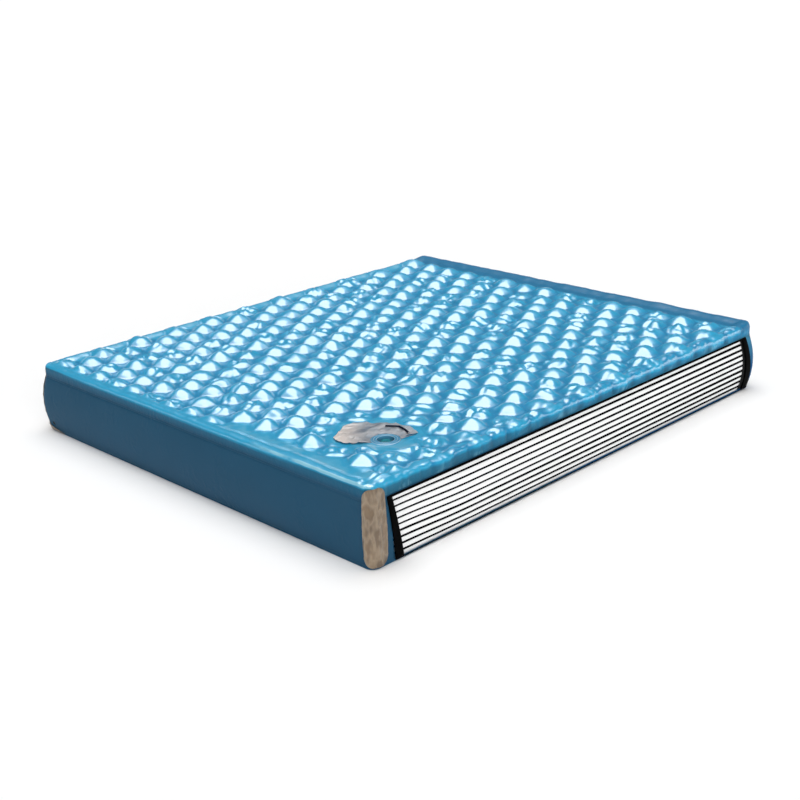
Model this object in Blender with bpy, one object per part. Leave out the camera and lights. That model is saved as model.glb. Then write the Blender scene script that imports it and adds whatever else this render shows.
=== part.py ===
"""A king-size waterbed mattress with one side cut open to show its fibre layers.

Metres, +Z up. The origin is at the middle of the underside. +X points to the head end,
-Y to the side that is cut open. The seams form a rounded rectangle, the walls bulge out
from it, and every wall, layer and patch follows the same outline and the same bulge.
"""

import math

import bmesh
import bpy
import numpy as np
from mathutils import Matrix, Vector
from mathutils.geometry import delaunay_2d_cdt

# Overall sizes, seam to seam
LENGTH = 2.134
WIDTH = 1.829
CORNER_RADIUS = 0.030
WALL_CROWN = 0.022
CORNER_EASE_REACH = 0.330
WALL_VINYL = 0.003
BASE_VINYL = 0.004
GAP = 0.0003

# Fibre layers and the dark spacer sheets between them
LAYER_COUNT = 10
LAYER_THICKNESS = 0.0142
THIN_SPACER = 0.0062
THICK_SPACER = 0.0084
THICK_SPACER_COUNT = 4
SPACER_INSET = 0.0015
TIE_THICKNESS = 0.0012
TIE_REACH = 0.060
STACK_CLEARANCE = 0.0024

# The straps at the corners lie where the near foot corner's bulge is all alike
CORNER_EASE_START = CORNER_RADIUS + TIE_REACH

# Top panel with its rolled rim and its field of bubbles
RIM_HEIGHT = 0.0484
RIM_INSET = 0.014
EDGE_RADIUS = 0.022
VALLEY_DROP = 0.010
BUBBLE_HEIGHT = 0.026
HEAD_ROLL_RISE = 0.006
FIELD_MARGIN = 0.034
HEAD_MARGIN = 0.090
FIRST_COLUMN = 0.062
COLUMN_PITCH = 0.085
COLUMN_GAIN = 0.0012
ROW_PITCH = 0.117
BARE_MARGIN = 0.004
BARE_STRIP_WIDTH = 0.105
BARE_STRIP_LENGTH = 0.650
BARE_STRIP_MARGIN = 0.060

# Opening cut in the near side, and the black binding round it
CUT_FOOT_TOP = 0.0706
CUT_FOOT_BOTTOM = 0.0968
CUT_HEAD_TOP = 0.0560
CUT_HEAD_BOTTOM = 0.0320
FOOT_BINDING_TOP = 0.0172
FOOT_BINDING_BOTTOM = 0.0350
HEAD_BINDING_TOP = 0.0300
HEAD_BINDING_BOTTOM = 0.0400
TOP_BINDING = 0.0070
BOTTOM_BINDING = 0.0020
BINDING_PROUD = 0.0008

# Corner patches
PATCH_THICKNESS = 0.0012
PATCH_STANDOFF = 0.0008
PATCH_FLOOR_GAP = 0.0060
PATCH_TOP_DROP = 0.0140
PATCH_ROUNDING = 0.030
PATCH_END_SHARE = 0.66
NEAR_PATCH_START = 0.0
NEAR_PATCH_END = 0.078
FAR_PATCH_START = 0.024
FAR_PATCH_END = 0.112
FLARE_HEIGHT = 0.030
FLARE_REACH = 0.105
FLARE_SHARE = 0.85

# Fill valve, a screw cap on a pull-up neck, set in the top panel
VALVE_FROM_FOOT = 0.318
VALVE_FROM_SIDE = 0.2535
SHEET_THICKNESS = 0.0015
SHEET_SPREAD = 0.150
FLANGE_RADIUS = 0.050
FLANGE_THICKNESS = 0.0032
WELL_RADIUS = 0.028
WELL_WALL = 0.003
WELL_DEPTH = 0.0260
LIP_WIDTH = 0.003
LIP_THICKNESS = 0.002
NECK_BORE_RADIUS = 0.008
NECK_WALL = 0.0035
NECK_HEIGHT = 0.0245
NECK_FOOT_DEPTH = 0.0330
NECK_FLANGE_WIDTH = 0.0045
NECK_FLANGE_THICKNESS = 0.0018
DIAPHRAGM_THICKNESS = 0.0012
DIAPHRAGM_BAND = 0.0030
PLUG_LENGTH = 0.0100
PLUG_HEAD_THICKNESS = 0.0015
SEAL_THICKNESS = 0.0012
THREAD_CLEARANCE = 0.0006
CAP_WALL = 0.0048
CAP_TOP = 0.0030
CAP_HEIGHT = 0.0196
CAP_GRIP_DEPTH = 0.0007
CAP_GRIPS = 24
TURNED_STEPS = 32

# Faces per curve
WALL_STEPS = 8
CORNER_STEPS = 3
RIM_STEPS = 2
PATCH_COLUMNS = 12
PATCH_ROWS = 20
CUT_OVERRUN = 0.01

# Heights that follow from the sizes above
SPACER_COUNT = LAYER_COUNT - 1
WALL_LOW = BASE_VINYL + GAP
SPACERS = [
    THICK_SPACER if index < THICK_SPACER_COUNT else THIN_SPACER
    for index in range(SPACER_COUNT)
]
STACK_TOP = (
    WALL_LOW + LAYER_COUNT * LAYER_THICKNESS + sum(SPACERS) + 2 * SPACER_COUNT * GAP
)
WALL_HIGH = STACK_TOP + TOP_BINDING
PANEL_LOW = WALL_HIGH + GAP
PANEL_TOP = PANEL_LOW + RIM_HEIGHT
VALLEY = PANEL_TOP - VALLEY_DROP
ROUND_LOW = PANEL_TOP - EDGE_RADIUS
VALVE_X = VALVE_FROM_FOOT - LENGTH / 2
VALVE_Y = VALVE_FROM_SIDE - WIDTH / 2
BUBBLE_REACH = ROW_PITCH / 2

# Outline of the grey sheet round the valve, from the valve's middle, in SHEET_SPREAD
SHEET_OUTLINE_SHARES = [
    (-0.71, 0.89),
    (-0.12, 1.21),
    (0.17, 1.20),
    (0.38, 1.08),
    (0.45, 0.78),
    (0.79, 0.44),
    (0.84, 0.16),
    (0.70, -0.30),
    (0.50, -0.36),
    (0.33, -0.23),
    (-0.36, 0.13),
    (-0.63, 0.33),
    (-0.78, 0.50),
    (-0.78, 0.72),
]
SHEET_MIDDLE_SHARES = (0.0, 0.30)
SHEET_SPAN_SHARE = 0.93

# The near foot corner bulges less than the walls: shares of the reach it eases out
# over, and the share of the bulge that is lost at the corner itself
EASE_STEP_SHARES = (0.0, 0.26, 0.50, 0.74, 1.0)
EASE_LOSS_SHARE = 0.80
EASED_PARTS = (
    "foot_wall",
    "near_wall",
    "binding",
    "fibre_layer",
    "spacer_sheet",
    "corner_tie_near_foot",
    "corner_patch_near_foot",
)

# Colours as red, green, blue in sRGB shares, then roughness
FINISHES = {
    "top_vinyl": ((0.18, 0.56, 0.78), 0.22),
    "wall_vinyl": ((0.16, 0.31, 0.43), 0.38),
    "fibre": ((0.95, 0.95, 0.95), 0.90),
    "spacer": ((0.02, 0.02, 0.02), 0.80),
    "binding": ((0.01, 0.01, 0.01), 0.55),
    "corner_vinyl": ((0.55, 0.48, 0.42), 0.45),
    "webbing": ((0.75, 0.75, 0.72), 0.85),
    "sheet_vinyl": ((0.63, 0.65, 0.67), 0.35),
    "valve_clear": ((0.70, 0.82, 0.86), 0.20),
    "diaphragm": ((0.10, 0.45, 0.50), 0.40),
    "valve_cap": ((0.10, 0.48, 0.52), 0.30),
    "seal": ((0.12, 0.12, 0.12), 0.70),
}


def linear(share):
    """Turn one sRGB share into a linear one."""
    return share / 12.92 if share <= 0.04045 else ((share + 0.055) / 1.055) ** 2.4


def finish(name):
    """Return the named material, made on first use."""
    material = bpy.data.materials.get(name)
    if material is None:
        colour, roughness = FINISHES[name]
        material = bpy.data.materials.new(name)
        material.use_nodes = True
        shader = material.node_tree.nodes["Principled BSDF"]
        shader.inputs["Base Color"].default_value = (*map(linear, colour), 1.0)
        shader.inputs["Roughness"].default_value = roughness
        shader.inputs["Metallic"].default_value = 0.0
        material.diffuse_color = (*map(linear, colour), 1.0)
    return material


def add_part(name, bm, material, location=(0, 0, 0), turn=0.0, parent=None, smooth=30):
    """Make one sub-part from a bmesh, shaded smooth up to the given angle."""
    if not any(edge.is_boundary for edge in bm.edges):
        bmesh.ops.recalc_face_normals(bm, faces=bm.faces)
    mesh = bpy.data.meshes.new(name)
    bm.to_mesh(mesh)
    bm.free()
    mesh.materials.append(finish(material))
    mesh.shade_smooth()
    mesh.set_sharp_from_angle(angle=math.radians(smooth))
    part = bpy.data.objects.new(name, mesh)
    part.location = location
    part.rotation_euler = (0, 0, turn)
    part.parent = parent
    bpy.context.collection.objects.link(part)
    return part


def cutter(name, bm, location=(0, 0, 0)):
    """Make a guide body that only cuts others."""
    bmesh.ops.recalc_face_normals(bm, faces=bm.faces)
    mesh = bpy.data.meshes.new(name)
    bm.to_mesh(mesh)
    bm.free()
    guide = bpy.data.objects.new(name, mesh)
    guide.location = location
    guide.hide_render = True
    guide.display_type = "WIRE"
    bpy.context.collection.objects.link(guide)
    return guide


def cut(part, guide):
    """Take a guide body out of a part."""
    boolean = part.modifiers.new("cut_" + guide.name, "BOOLEAN")
    boolean.operation = "DIFFERENCE"
    boolean.object = guide


def crown(height):
    """How far the wall bulges past the seam outline at a height."""
    middle = (WALL_LOW + WALL_HIGH) / 2
    share = (height - middle) / (WALL_HIGH - middle)
    return WALL_CROWN * (1 - min(share * share, 1))


def skin(height):
    """How far the outer skin stands past the seam outline at a height."""
    if height <= WALL_HIGH:
        return crown(height)
    if height <= ROUND_LOW:
        return 0.0
    rise = height - ROUND_LOW
    return math.sqrt(EDGE_RADIUS**2 - rise**2) - EDGE_RADIUS


def skin_section(inner, outer):
    """Closed section of a wall between two offsets from the skin, as (offset, height)."""
    heights = [
        WALL_LOW + (WALL_HIGH - WALL_LOW) * step / WALL_STEPS
        for step in range(WALL_STEPS + 1)
    ]
    outside = [(crown(height) + outer, height) for height in heights]
    inside = [(crown(height) + inner, height) for height in heights]
    return outside + inside[::-1]


def lost_bulge(place):
    """Share of the bulge that is lost at a place, in straight runs between the steps."""
    along = max(place.x + LENGTH / 2, place.y + WIDTH / 2) - CORNER_EASE_START
    steps = EASE_STEP_SHARES
    losses = [EASE_LOSS_SHARE * (1 - step * step * (3 - 2 * step)) for step in steps]
    return float(np.interp(along / CORNER_EASE_REACH, steps, losses))


def ease_corner(part):
    """Draw a part in towards the seam outline round the near foot corner."""
    pose = Matrix.Rotation(part.rotation_euler.z, 4, "Z")
    pose.translation = part.location
    bm = bmesh.new()
    bm.from_mesh(part.data)
    bmesh.ops.transform(bm, matrix=pose, verts=bm.verts)
    for step in EASE_STEP_SHARES:
        for axis, size in ((0, LENGTH), (1, WIDTH)):
            normal = Vector((1 - axis, axis, 0))
            point = normal * (CORNER_EASE_START + CORNER_EASE_REACH * step - size / 2)
            geom = list(bm.verts) + list(bm.edges) + list(bm.faces)
            bmesh.ops.bisect_plane(bm, geom=geom, plane_co=point, plane_no=normal)
    core = Vector((LENGTH / 2 - CORNER_RADIUS, WIDTH / 2 - CORNER_RADIUS))
    for vert in bm.verts:
        x = min(max(vert.co.x, -core.x), core.x)
        y = min(max(vert.co.y, -core.y), core.y)
        out = Vector((vert.co.x - x, vert.co.y - y, 0)).normalized()
        vert.co -= out * crown(vert.co.z) * lost_bulge(vert.co)
    bmesh.ops.transform(bm, matrix=pose.inverted(), verts=bm.verts)
    bm.to_mesh(part.data)
    bm.free()


def extrude(bm, face, along):
    """Extrude one face and return the face at its far end."""
    geom = list(face.verts) + list(face.edges) + [face]
    made = bmesh.ops.extrude_face_region(bm, geom=geom)["geom"]
    verts = [item for item in made if isinstance(item, bmesh.types.BMVert)]
    bmesh.ops.translate(bm, verts=verts, vec=along)
    return next(item for item in made if isinstance(item, bmesh.types.BMFace))


def spin(bm, face, centre, angle, steps):
    """Spin one face about a vertical axis and return the face at its far end."""
    geom = list(face.verts) + list(face.edges) + [face]
    made = bmesh.ops.spin(
        bm, geom=geom, cent=centre, axis=(0, 0, 1), angle=angle, steps=steps
    )["geom_last"]
    return next(item for item in made if isinstance(item, bmesh.types.BMFace))


def wall_mesh(run, depth, section):
    """A wall that faces -Y and turns half of each corner, ending at the mitres."""
    bm = bmesh.new()
    reach = run / 2 - CORNER_RADIUS
    centre = Vector((-reach, CORNER_RADIUS - depth / 2, 0))
    mitre = math.pi / 4 - GAP / 2 / (CORNER_RADIUS - WALL_VINYL)
    start = Matrix.Rotation(-mitre, 3, "Z")
    verts = [
        bm.verts.new(centre + start @ Vector((0, -CORNER_RADIUS - offset, height)))
        for offset, height in section
    ]
    face = bm.faces.new(verts)
    face = spin(bm, face, centre, mitre, CORNER_STEPS)
    face = extrude(bm, face, (2 * reach, 0, 0))
    spin(bm, face, centre + Vector((2 * reach, 0, 0)), mitre, CORNER_STEPS)
    return bm


def corner_sweep(section, reach):
    """A strip that wraps the corner at (-X, -Y), in the frame of the corner's centre."""
    bm = bmesh.new()
    verts = [
        bm.verts.new((-CORNER_RADIUS - offset, reach, height))
        for offset, height in section
    ]
    face = bm.faces.new(verts)
    face = extrude(bm, face, (0, -reach, 0))
    face = spin(bm, face, (0, 0, 0), math.pi / 2, 2 * CORNER_STEPS)
    extrude(bm, face, (reach, 0, 0))
    return bm


def keep_side(bm, point, normal):
    """Cut a closed mesh at a plane, drop what lies along the normal, and cap it."""
    geom = list(bm.verts) + list(bm.edges) + list(bm.faces)
    done = bmesh.ops.bisect_plane(
        bm, geom=geom, plane_co=point, plane_no=normal, clear_outer=True
    )["geom_cut"]
    edges = [item for item in done if isinstance(item, bmesh.types.BMEdge)]
    bmesh.ops.holes_fill(bm, edges=edges, sides=0)


def leaning_plane(top_x, bottom_x, shift):
    """Point and +X normal of the plane through two points of the near side, moved in X."""
    rise = Vector((top_x - bottom_x, 0, WALL_HIGH - WALL_LOW))
    normal = Vector((rise.z, 0, -rise.x)).normalized()
    return Vector((bottom_x + shift, 0, WALL_LOW)), normal


def rounded_sheet(bm, length, width, radius, height):
    """One flat rounded rectangle."""
    made = bmesh.ops.create_grid(bm, x_segments=1, y_segments=1, size=1 / 2)["verts"]
    bmesh.ops.scale(bm, verts=made, vec=(length, width, 1))
    bmesh.ops.translate(bm, verts=made, vec=(0, 0, height))
    bmesh.ops.bevel(
        bm,
        geom=made,
        offset=radius,
        offset_type="OFFSET",
        segments=2 * CORNER_STEPS,
        profile=0.5,
        affect="VERTICES",
    )
    bm.faces.ensure_lookup_table()
    return bm.faces[0]


def turned_mesh(profile):
    """A ring or disc turned about the Z axis from a closed (radius, height) profile."""
    bm = bmesh.new()
    verts = [bm.verts.new((radius, 0, height)) for radius, height in profile]
    edges = [bm.edges.new((verts[i - 1], verts[i])) for i in range(len(verts))]
    bmesh.ops.spin(
        bm,
        geom=verts + edges,
        cent=(0, 0, 0),
        axis=(0, 0, 1),
        angle=2 * math.pi,
        steps=TURNED_STEPS,
        use_merge=True,
    )
    bmesh.ops.remove_doubles(bm, verts=bm.verts, dist=GAP / 10)
    spare = [edge for edge in bm.edges if not edge.link_faces]
    bmesh.ops.delete(bm, geom=spare, context="EDGES")
    return bm


def prism_mesh(outline, low, high):
    """An upright prism on a flat outline."""
    bm = bmesh.new()
    face = bm.faces.new([bm.verts.new((x, y, low)) for x, y in outline])
    extrude(bm, face, (0, 0, high - low))
    return bm


def circle(radius, steps):
    """Points of a circle about the origin."""
    return [
        (
            radius * math.cos(2 * math.pi * step / steps),
            radius * math.sin(2 * math.pi * step / steps),
        )
        for step in range(steps)
    ]


def bubble_columns():
    """X places of the bubble columns, which widen towards the head end."""
    limit = LENGTH / 2 - HEAD_MARGIN - COLUMN_PITCH / 2
    places = []
    place = FIRST_COLUMN - LENGTH / 2
    while place < limit:
        places.append(place)
        place += COLUMN_PITCH + COLUMN_GAIN * (len(places) - 1)
    return places


def is_bare(x, y):
    """Whether the panel is smooth at a place, near the valve or on the foot strip."""
    from_x = x - VALVE_X - SHEET_MIDDLE_SHARES[0] * SHEET_SPREAD
    from_y = y - VALVE_Y - SHEET_MIDDLE_SHARES[1] * SHEET_SPREAD
    radius = SHEET_SPREAD * SHEET_SPAN_SHARE + BUBBLE_REACH + BARE_MARGIN
    near_valve = math.hypot(from_x, from_y) < radius
    along = y + WIDTH / 2 - BARE_STRIP_MARGIN
    on_strip = x + LENGTH / 2 < BARE_STRIP_WIDTH and 0 < along < BARE_STRIP_LENGTH
    return near_valve or on_strip


def bubble_field():
    """Crest and valley points of the bubbles, as (x, y, height)."""
    columns = bubble_columns()
    rows = int((WIDTH - 2 * FIELD_MARGIN) / ROW_PITCH)
    low_x = FIELD_MARGIN - LENGTH / 2
    high_x = LENGTH / 2 - HEAD_MARGIN
    side_y = WIDTH / 2 - FIELD_MARGIN
    before = 2 * columns[0] - columns[1]
    after = 2 * columns[-1] - columns[-2]
    places = [before, *columns, after]
    points = []
    for index, place in enumerate(places):
        shift = ROW_PITCH / 4 * (1 if index % 2 else -1)
        real = 0 < index < len(places) - 1
        for row in range(rows + 1):
            y = (row - rows / 2) * ROW_PITCH + shift
            sides = []
            if index > 0:
                sides.append(place - (place - places[index - 1]) / 3)
            if index < len(places) - 1:
                sides.append(place + (places[index + 1] - place) / 3)
            for x in sides:
                x = min(max(x, low_x), high_x)
                points.append((x, min(max(y, -side_y), side_y), VALLEY))
            crest = y + ROW_PITCH / 2
            if real and row < rows and not is_bare(place, crest):
                points.append((place, crest, VALLEY + BUBBLE_HEIGHT))
    return points


def top_panel():
    """The top panel: a padded sheet with a rolled rim and a field of bubbles."""
    bm = bmesh.new()
    face = rounded_sheet(bm, LENGTH, WIDTH, CORNER_RADIUS, PANEL_LOW)
    top = extrude(bm, face, (0, 0, RIM_HEIGHT))
    bmesh.ops.recalc_face_normals(bm, faces=bm.faces)
    bmesh.ops.bevel(
        bm,
        geom=list(top.edges),
        offset=EDGE_RADIUS,
        offset_type="OFFSET",
        segments=RIM_STEPS,
        profile=0.5,
        affect="EDGES",
    )
    top = max(bm.faces, key=lambda item: item.calc_center_median().z)
    under = min(bm.faces, key=lambda item: item.calc_center_median().z)
    bmesh.ops.inset_region(bm, faces=[under], thickness=RIM_INSET)
    extrude(bm, under, (0, 0, -TOP_BINDING))
    fill_with_bubbles(bm, top)
    for vert in bm.verts:
        if vert.co.x > LENGTH / 2 - HEAD_MARGIN + GAP and vert.co.z > ROUND_LOW + GAP:
            vert.co.z += HEAD_ROLL_RISE * (vert.co.z - ROUND_LOW) / EDGE_RADIUS
    panel = add_part("top_panel", bm, "top_vinyl", smooth=25)
    hole = prism_mesh(
        circle(WELL_RADIUS + WELL_WALL + GAP, TURNED_STEPS),
        PANEL_LOW - TOP_BINDING - CUT_OVERRUN,
        PANEL_TOP + CUT_OVERRUN,
    )
    cut(panel, cutter("valve_hole", hole, (VALVE_X, VALVE_Y, 0)))


def fill_with_bubbles(bm, top):
    """Swap the flat top face for triangles through the bubble points."""
    rim = list(top.verts)
    field = bubble_field()
    flat = [Vector(vert.co.xy) for vert in rim] + [Vector((x, y)) for x, y, _ in field]
    places, _, triangles, sources, _, _ = delaunay_2d_cdt(
        flat, [], [list(range(len(rim)))], 1, GAP / 10
    )
    bmesh.ops.delete(bm, geom=[top], context="FACES_ONLY")
    made = []
    for place, source in zip(places, sources):
        first = min(source)
        if first < len(rim):
            made.append(rim[first])
        else:
            made.append(bm.verts.new((*place, field[first - len(rim)][2])))
    for triangle in triangles:
        bm.faces.new([made[index] for index in triangle])


def shell():
    """The bottom panel and the side walls."""
    bm = bmesh.new()
    face = rounded_sheet(bm, LENGTH, WIDTH, CORNER_RADIUS, 0)
    extrude(bm, face, (0, 0, BASE_VINYL))
    add_part("bottom_panel", bm, "wall_vinyl")
    section = skin_section(-WALL_VINYL, 0)
    quarter = math.pi / 2
    add_part("foot_wall", wall_mesh(WIDTH, LENGTH, section), "wall_vinyl", turn=-quarter)
    add_part("head_wall", wall_mesh(WIDTH, LENGTH, section), "wall_vinyl", turn=quarter)
    add_part(
        "far_side_wall", wall_mesh(LENGTH, WIDTH, section), "wall_vinyl", turn=math.pi
    )
    foot = leaning_plane(
        CUT_FOOT_TOP - LENGTH / 2, CUT_FOOT_BOTTOM - LENGTH / 2, -GAP
    )
    head = leaning_plane(LENGTH / 2 - CUT_HEAD_TOP, LENGTH / 2 - CUT_HEAD_BOTTOM, GAP)
    bm = wall_mesh(LENGTH, WIDTH, section)
    keep_side(bm, *foot)
    add_part("near_wall_foot_post", bm, "wall_vinyl")
    bm = wall_mesh(LENGTH, WIDTH, section)
    keep_side(bm, head[0], -head[1])
    add_part("near_wall_head_post", bm, "wall_vinyl")


def binding():
    """Four black strips that bind the edges of the opening."""
    section = skin_section(-WALL_VINYL, BINDING_PROUD)
    foot_x = (CUT_FOOT_TOP - LENGTH / 2, CUT_FOOT_BOTTOM - LENGTH / 2)
    head_x = (LENGTH / 2 - CUT_HEAD_TOP, LENGTH / 2 - CUT_HEAD_BOTTOM)
    inner_foot = (foot_x[0] + FOOT_BINDING_TOP, foot_x[1] + FOOT_BINDING_BOTTOM)
    inner_head = (head_x[0] - HEAD_BINDING_TOP, head_x[1] - HEAD_BINDING_BOTTOM)
    up = Vector((0, 0, 1))
    pieces = {
        "binding_foot_side": [(foot_x, 0, -1), (inner_foot, 0, 1)],
        "binding_head_side": [(inner_head, 0, -1), (head_x, 0, 1)],
        "binding_top": [(inner_foot, GAP, -1), (inner_head, -GAP, 1)],
        "binding_bottom": [(inner_foot, GAP, -1), (inner_head, -GAP, 1)],
    }
    levels = {
        "binding_top": (Vector((0, 0, STACK_TOP)), -up),
        "binding_bottom": (Vector((0, 0, WALL_LOW + BOTTOM_BINDING)), up),
    }
    for name, planes in pieces.items():
        bm = wall_mesh(LENGTH, WIDTH, section)
        for (top_x, bottom_x), shift, side in planes:
            point, normal = leaning_plane(top_x, bottom_x, shift)
            keep_side(bm, point, side * normal)
        if name in levels:
            keep_side(bm, *levels[name])
        add_part(name, bm, "binding")


def mat_mesh(low, high, inset):
    """One sheet of the stack, whose sloping edge follows the bulge of the walls."""
    bm = bmesh.new()
    margins = [
        crown(level) - WALL_VINYL - STACK_CLEARANCE - inset for level in (low, high)
    ]
    length = LENGTH + 2 * margins[0]
    width = WIDTH + 2 * margins[0]
    radius = CORNER_RADIUS + margins[0]
    face = rounded_sheet(bm, length, width, radius, 0)
    top = extrude(bm, face, (0, 0, high - low))
    core = Vector((LENGTH / 2 - CORNER_RADIUS, WIDTH / 2 - CORNER_RADIUS))
    share = (CORNER_RADIUS + margins[1]) / radius
    for vert in top.verts:
        x = min(max(vert.co.x, -core.x), core.x)
        y = min(max(vert.co.y, -core.y), core.y)
        vert.co.x = x + (vert.co.x - x) * share
        vert.co.y = y + (vert.co.y - y) * share
    return bm


def stack():
    """Fibre layers with a dark spacer sheet between each two."""
    low = WALL_LOW
    for index in range(LAYER_COUNT):
        high = low + LAYER_THICKNESS
        name = f"fibre_layer_{index + 1:02d}"
        add_part(name, mat_mesh(low, high, 0), "fibre", (0, 0, low))
        low = high + GAP
        if index < SPACER_COUNT:
            high = low + SPACERS[index]
            name = f"spacer_sheet_{index + 1:02d}"
            add_part(name, mat_mesh(low, high, SPACER_INSET), "spacer", (0, 0, low))
            low = high + GAP


def corner_ties():
    """Woven straps that hold the stack in line at its four corners."""
    outer = -WALL_VINYL - GAP
    section = skin_section(outer - TIE_THICKNESS, outer)
    x = LENGTH / 2 - CORNER_RADIUS
    y = WIDTH / 2 - CORNER_RADIUS
    quarter = math.pi / 2
    places = {
        "corner_tie_near_foot": (-x, -y, 0),
        "corner_tie_near_head": (x, -y, 1),
        "corner_tie_far_head": (x, y, 2),
        "corner_tie_far_foot": (-x, y, 3),
    }
    for name, (place_x, place_y, turns) in places.items():
        bm = corner_sweep(section, TIE_REACH)
        add_part(name, bm, "webbing", (place_x, place_y, 0), turns * quarter)


def corner_place(along, stand):
    """Point of the corner's outline at a distance along it, standing off by stand."""
    arc = CORNER_RADIUS * math.pi / 2
    reach = CORNER_RADIUS + stand
    if along < 0:
        return Vector((-reach, -along, 0))
    if along <= arc:
        angle = along / CORNER_RADIUS
        return Vector((-reach * math.cos(angle), -reach * math.sin(angle), 0))
    return Vector((along - arc, -reach, 0))


def patch_levels(flare):
    """Heights of a corner patch's rows, closer together towards its rounded ends."""
    high = PANEL_TOP - PATCH_TOP_DROP
    if flare:
        rows = PATCH_ROWS - 1
        shares = [math.sin(math.pi / 2 * row / rows) for row in range(PATCH_ROWS)]
        rise = high - FLARE_HEIGHT
        return [PATCH_FLOOR_GAP, *(FLARE_HEIGHT + rise * share for share in shares)]
    middle = (PATCH_FLOOR_GAP + high) / 2
    shares = [math.cos(math.pi * row / PATCH_ROWS) for row in range(PATCH_ROWS + 1)]
    return [middle - (high - middle) * share for share in shares]


def rounding(distance, half_width):
    """How far a patch's side draws in at a distance from its rounded end."""
    into = max(PATCH_ROUNDING - distance, 0) / PATCH_ROUNDING
    return PATCH_END_SHARE * half_width * (1 - math.sqrt(1 - into * into))


def corner_patch(name, location, start, end, flare, mirrored):
    """A patch welded over an upright corner, round at its ends, with a flare or none."""
    bm = bmesh.new()
    tail = PATCH_COLUMNS if flare else 0
    columns = PATCH_COLUMNS + tail
    bmesh.ops.create_grid(bm, x_segments=columns, y_segments=PATCH_ROWS, size=1 / 2)
    levels = patch_levels(flare)
    half_width = (end - start) / 2
    spare = []
    for vert in bm.verts:
        column = round((vert.co.x + 1 / 2) * columns)
        row = round((vert.co.y + 1 / 2) * PATCH_ROWS)
        level = levels[row]
        if column < tail:
            out = 1 - column / tail
            along = start - flare * out
            level = PATCH_FLOOR_GAP + (level - PATCH_FLOOR_GAP) * (1 - FLARE_SHARE * out)
            if row > 1:
                spare.append(vert)
        else:
            upper = rounding(levels[-1] - level, half_width)
            lower = rounding(level - PATCH_FLOOR_GAP, half_width)
            low = start + (upper if flare else max(upper, lower))
            high = end - max(upper, lower)
            along = low + (column - tail) / PATCH_COLUMNS * (high - low)
        vert.co = corner_place(along, skin(level) + PATCH_STANDOFF)
        vert.co.z = level
    bmesh.ops.delete(bm, geom=spare, context="VERTS")
    if mirrored:
        bmesh.ops.scale(bm, verts=bm.verts, vec=(1, -1, 1))
    bm.normal_update()
    if sum(face.normal.dot(face.calc_center_median()) for face in bm.faces) < 0:
        bmesh.ops.reverse_faces(bm, faces=bm.faces)
    patch = add_part(name, bm, "corner_vinyl", location)
    solid = patch.modifiers.new("thickness", "SOLIDIFY")
    solid.thickness = PATCH_THICKNESS
    solid.offset = 1


def corner_patches():
    """The patches on the two corners of the foot end."""
    x = CORNER_RADIUS - LENGTH / 2
    y = WIDTH / 2 - CORNER_RADIUS
    corner_patch(
        "corner_patch_near_foot", (x, -y, 0), NEAR_PATCH_START, NEAR_PATCH_END, 0, False
    )
    corner_patch(
        "corner_patch_far_foot",
        (x, y, 0),
        FAR_PATCH_START,
        FAR_PATCH_END,
        FLARE_REACH,
        True,
    )


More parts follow.
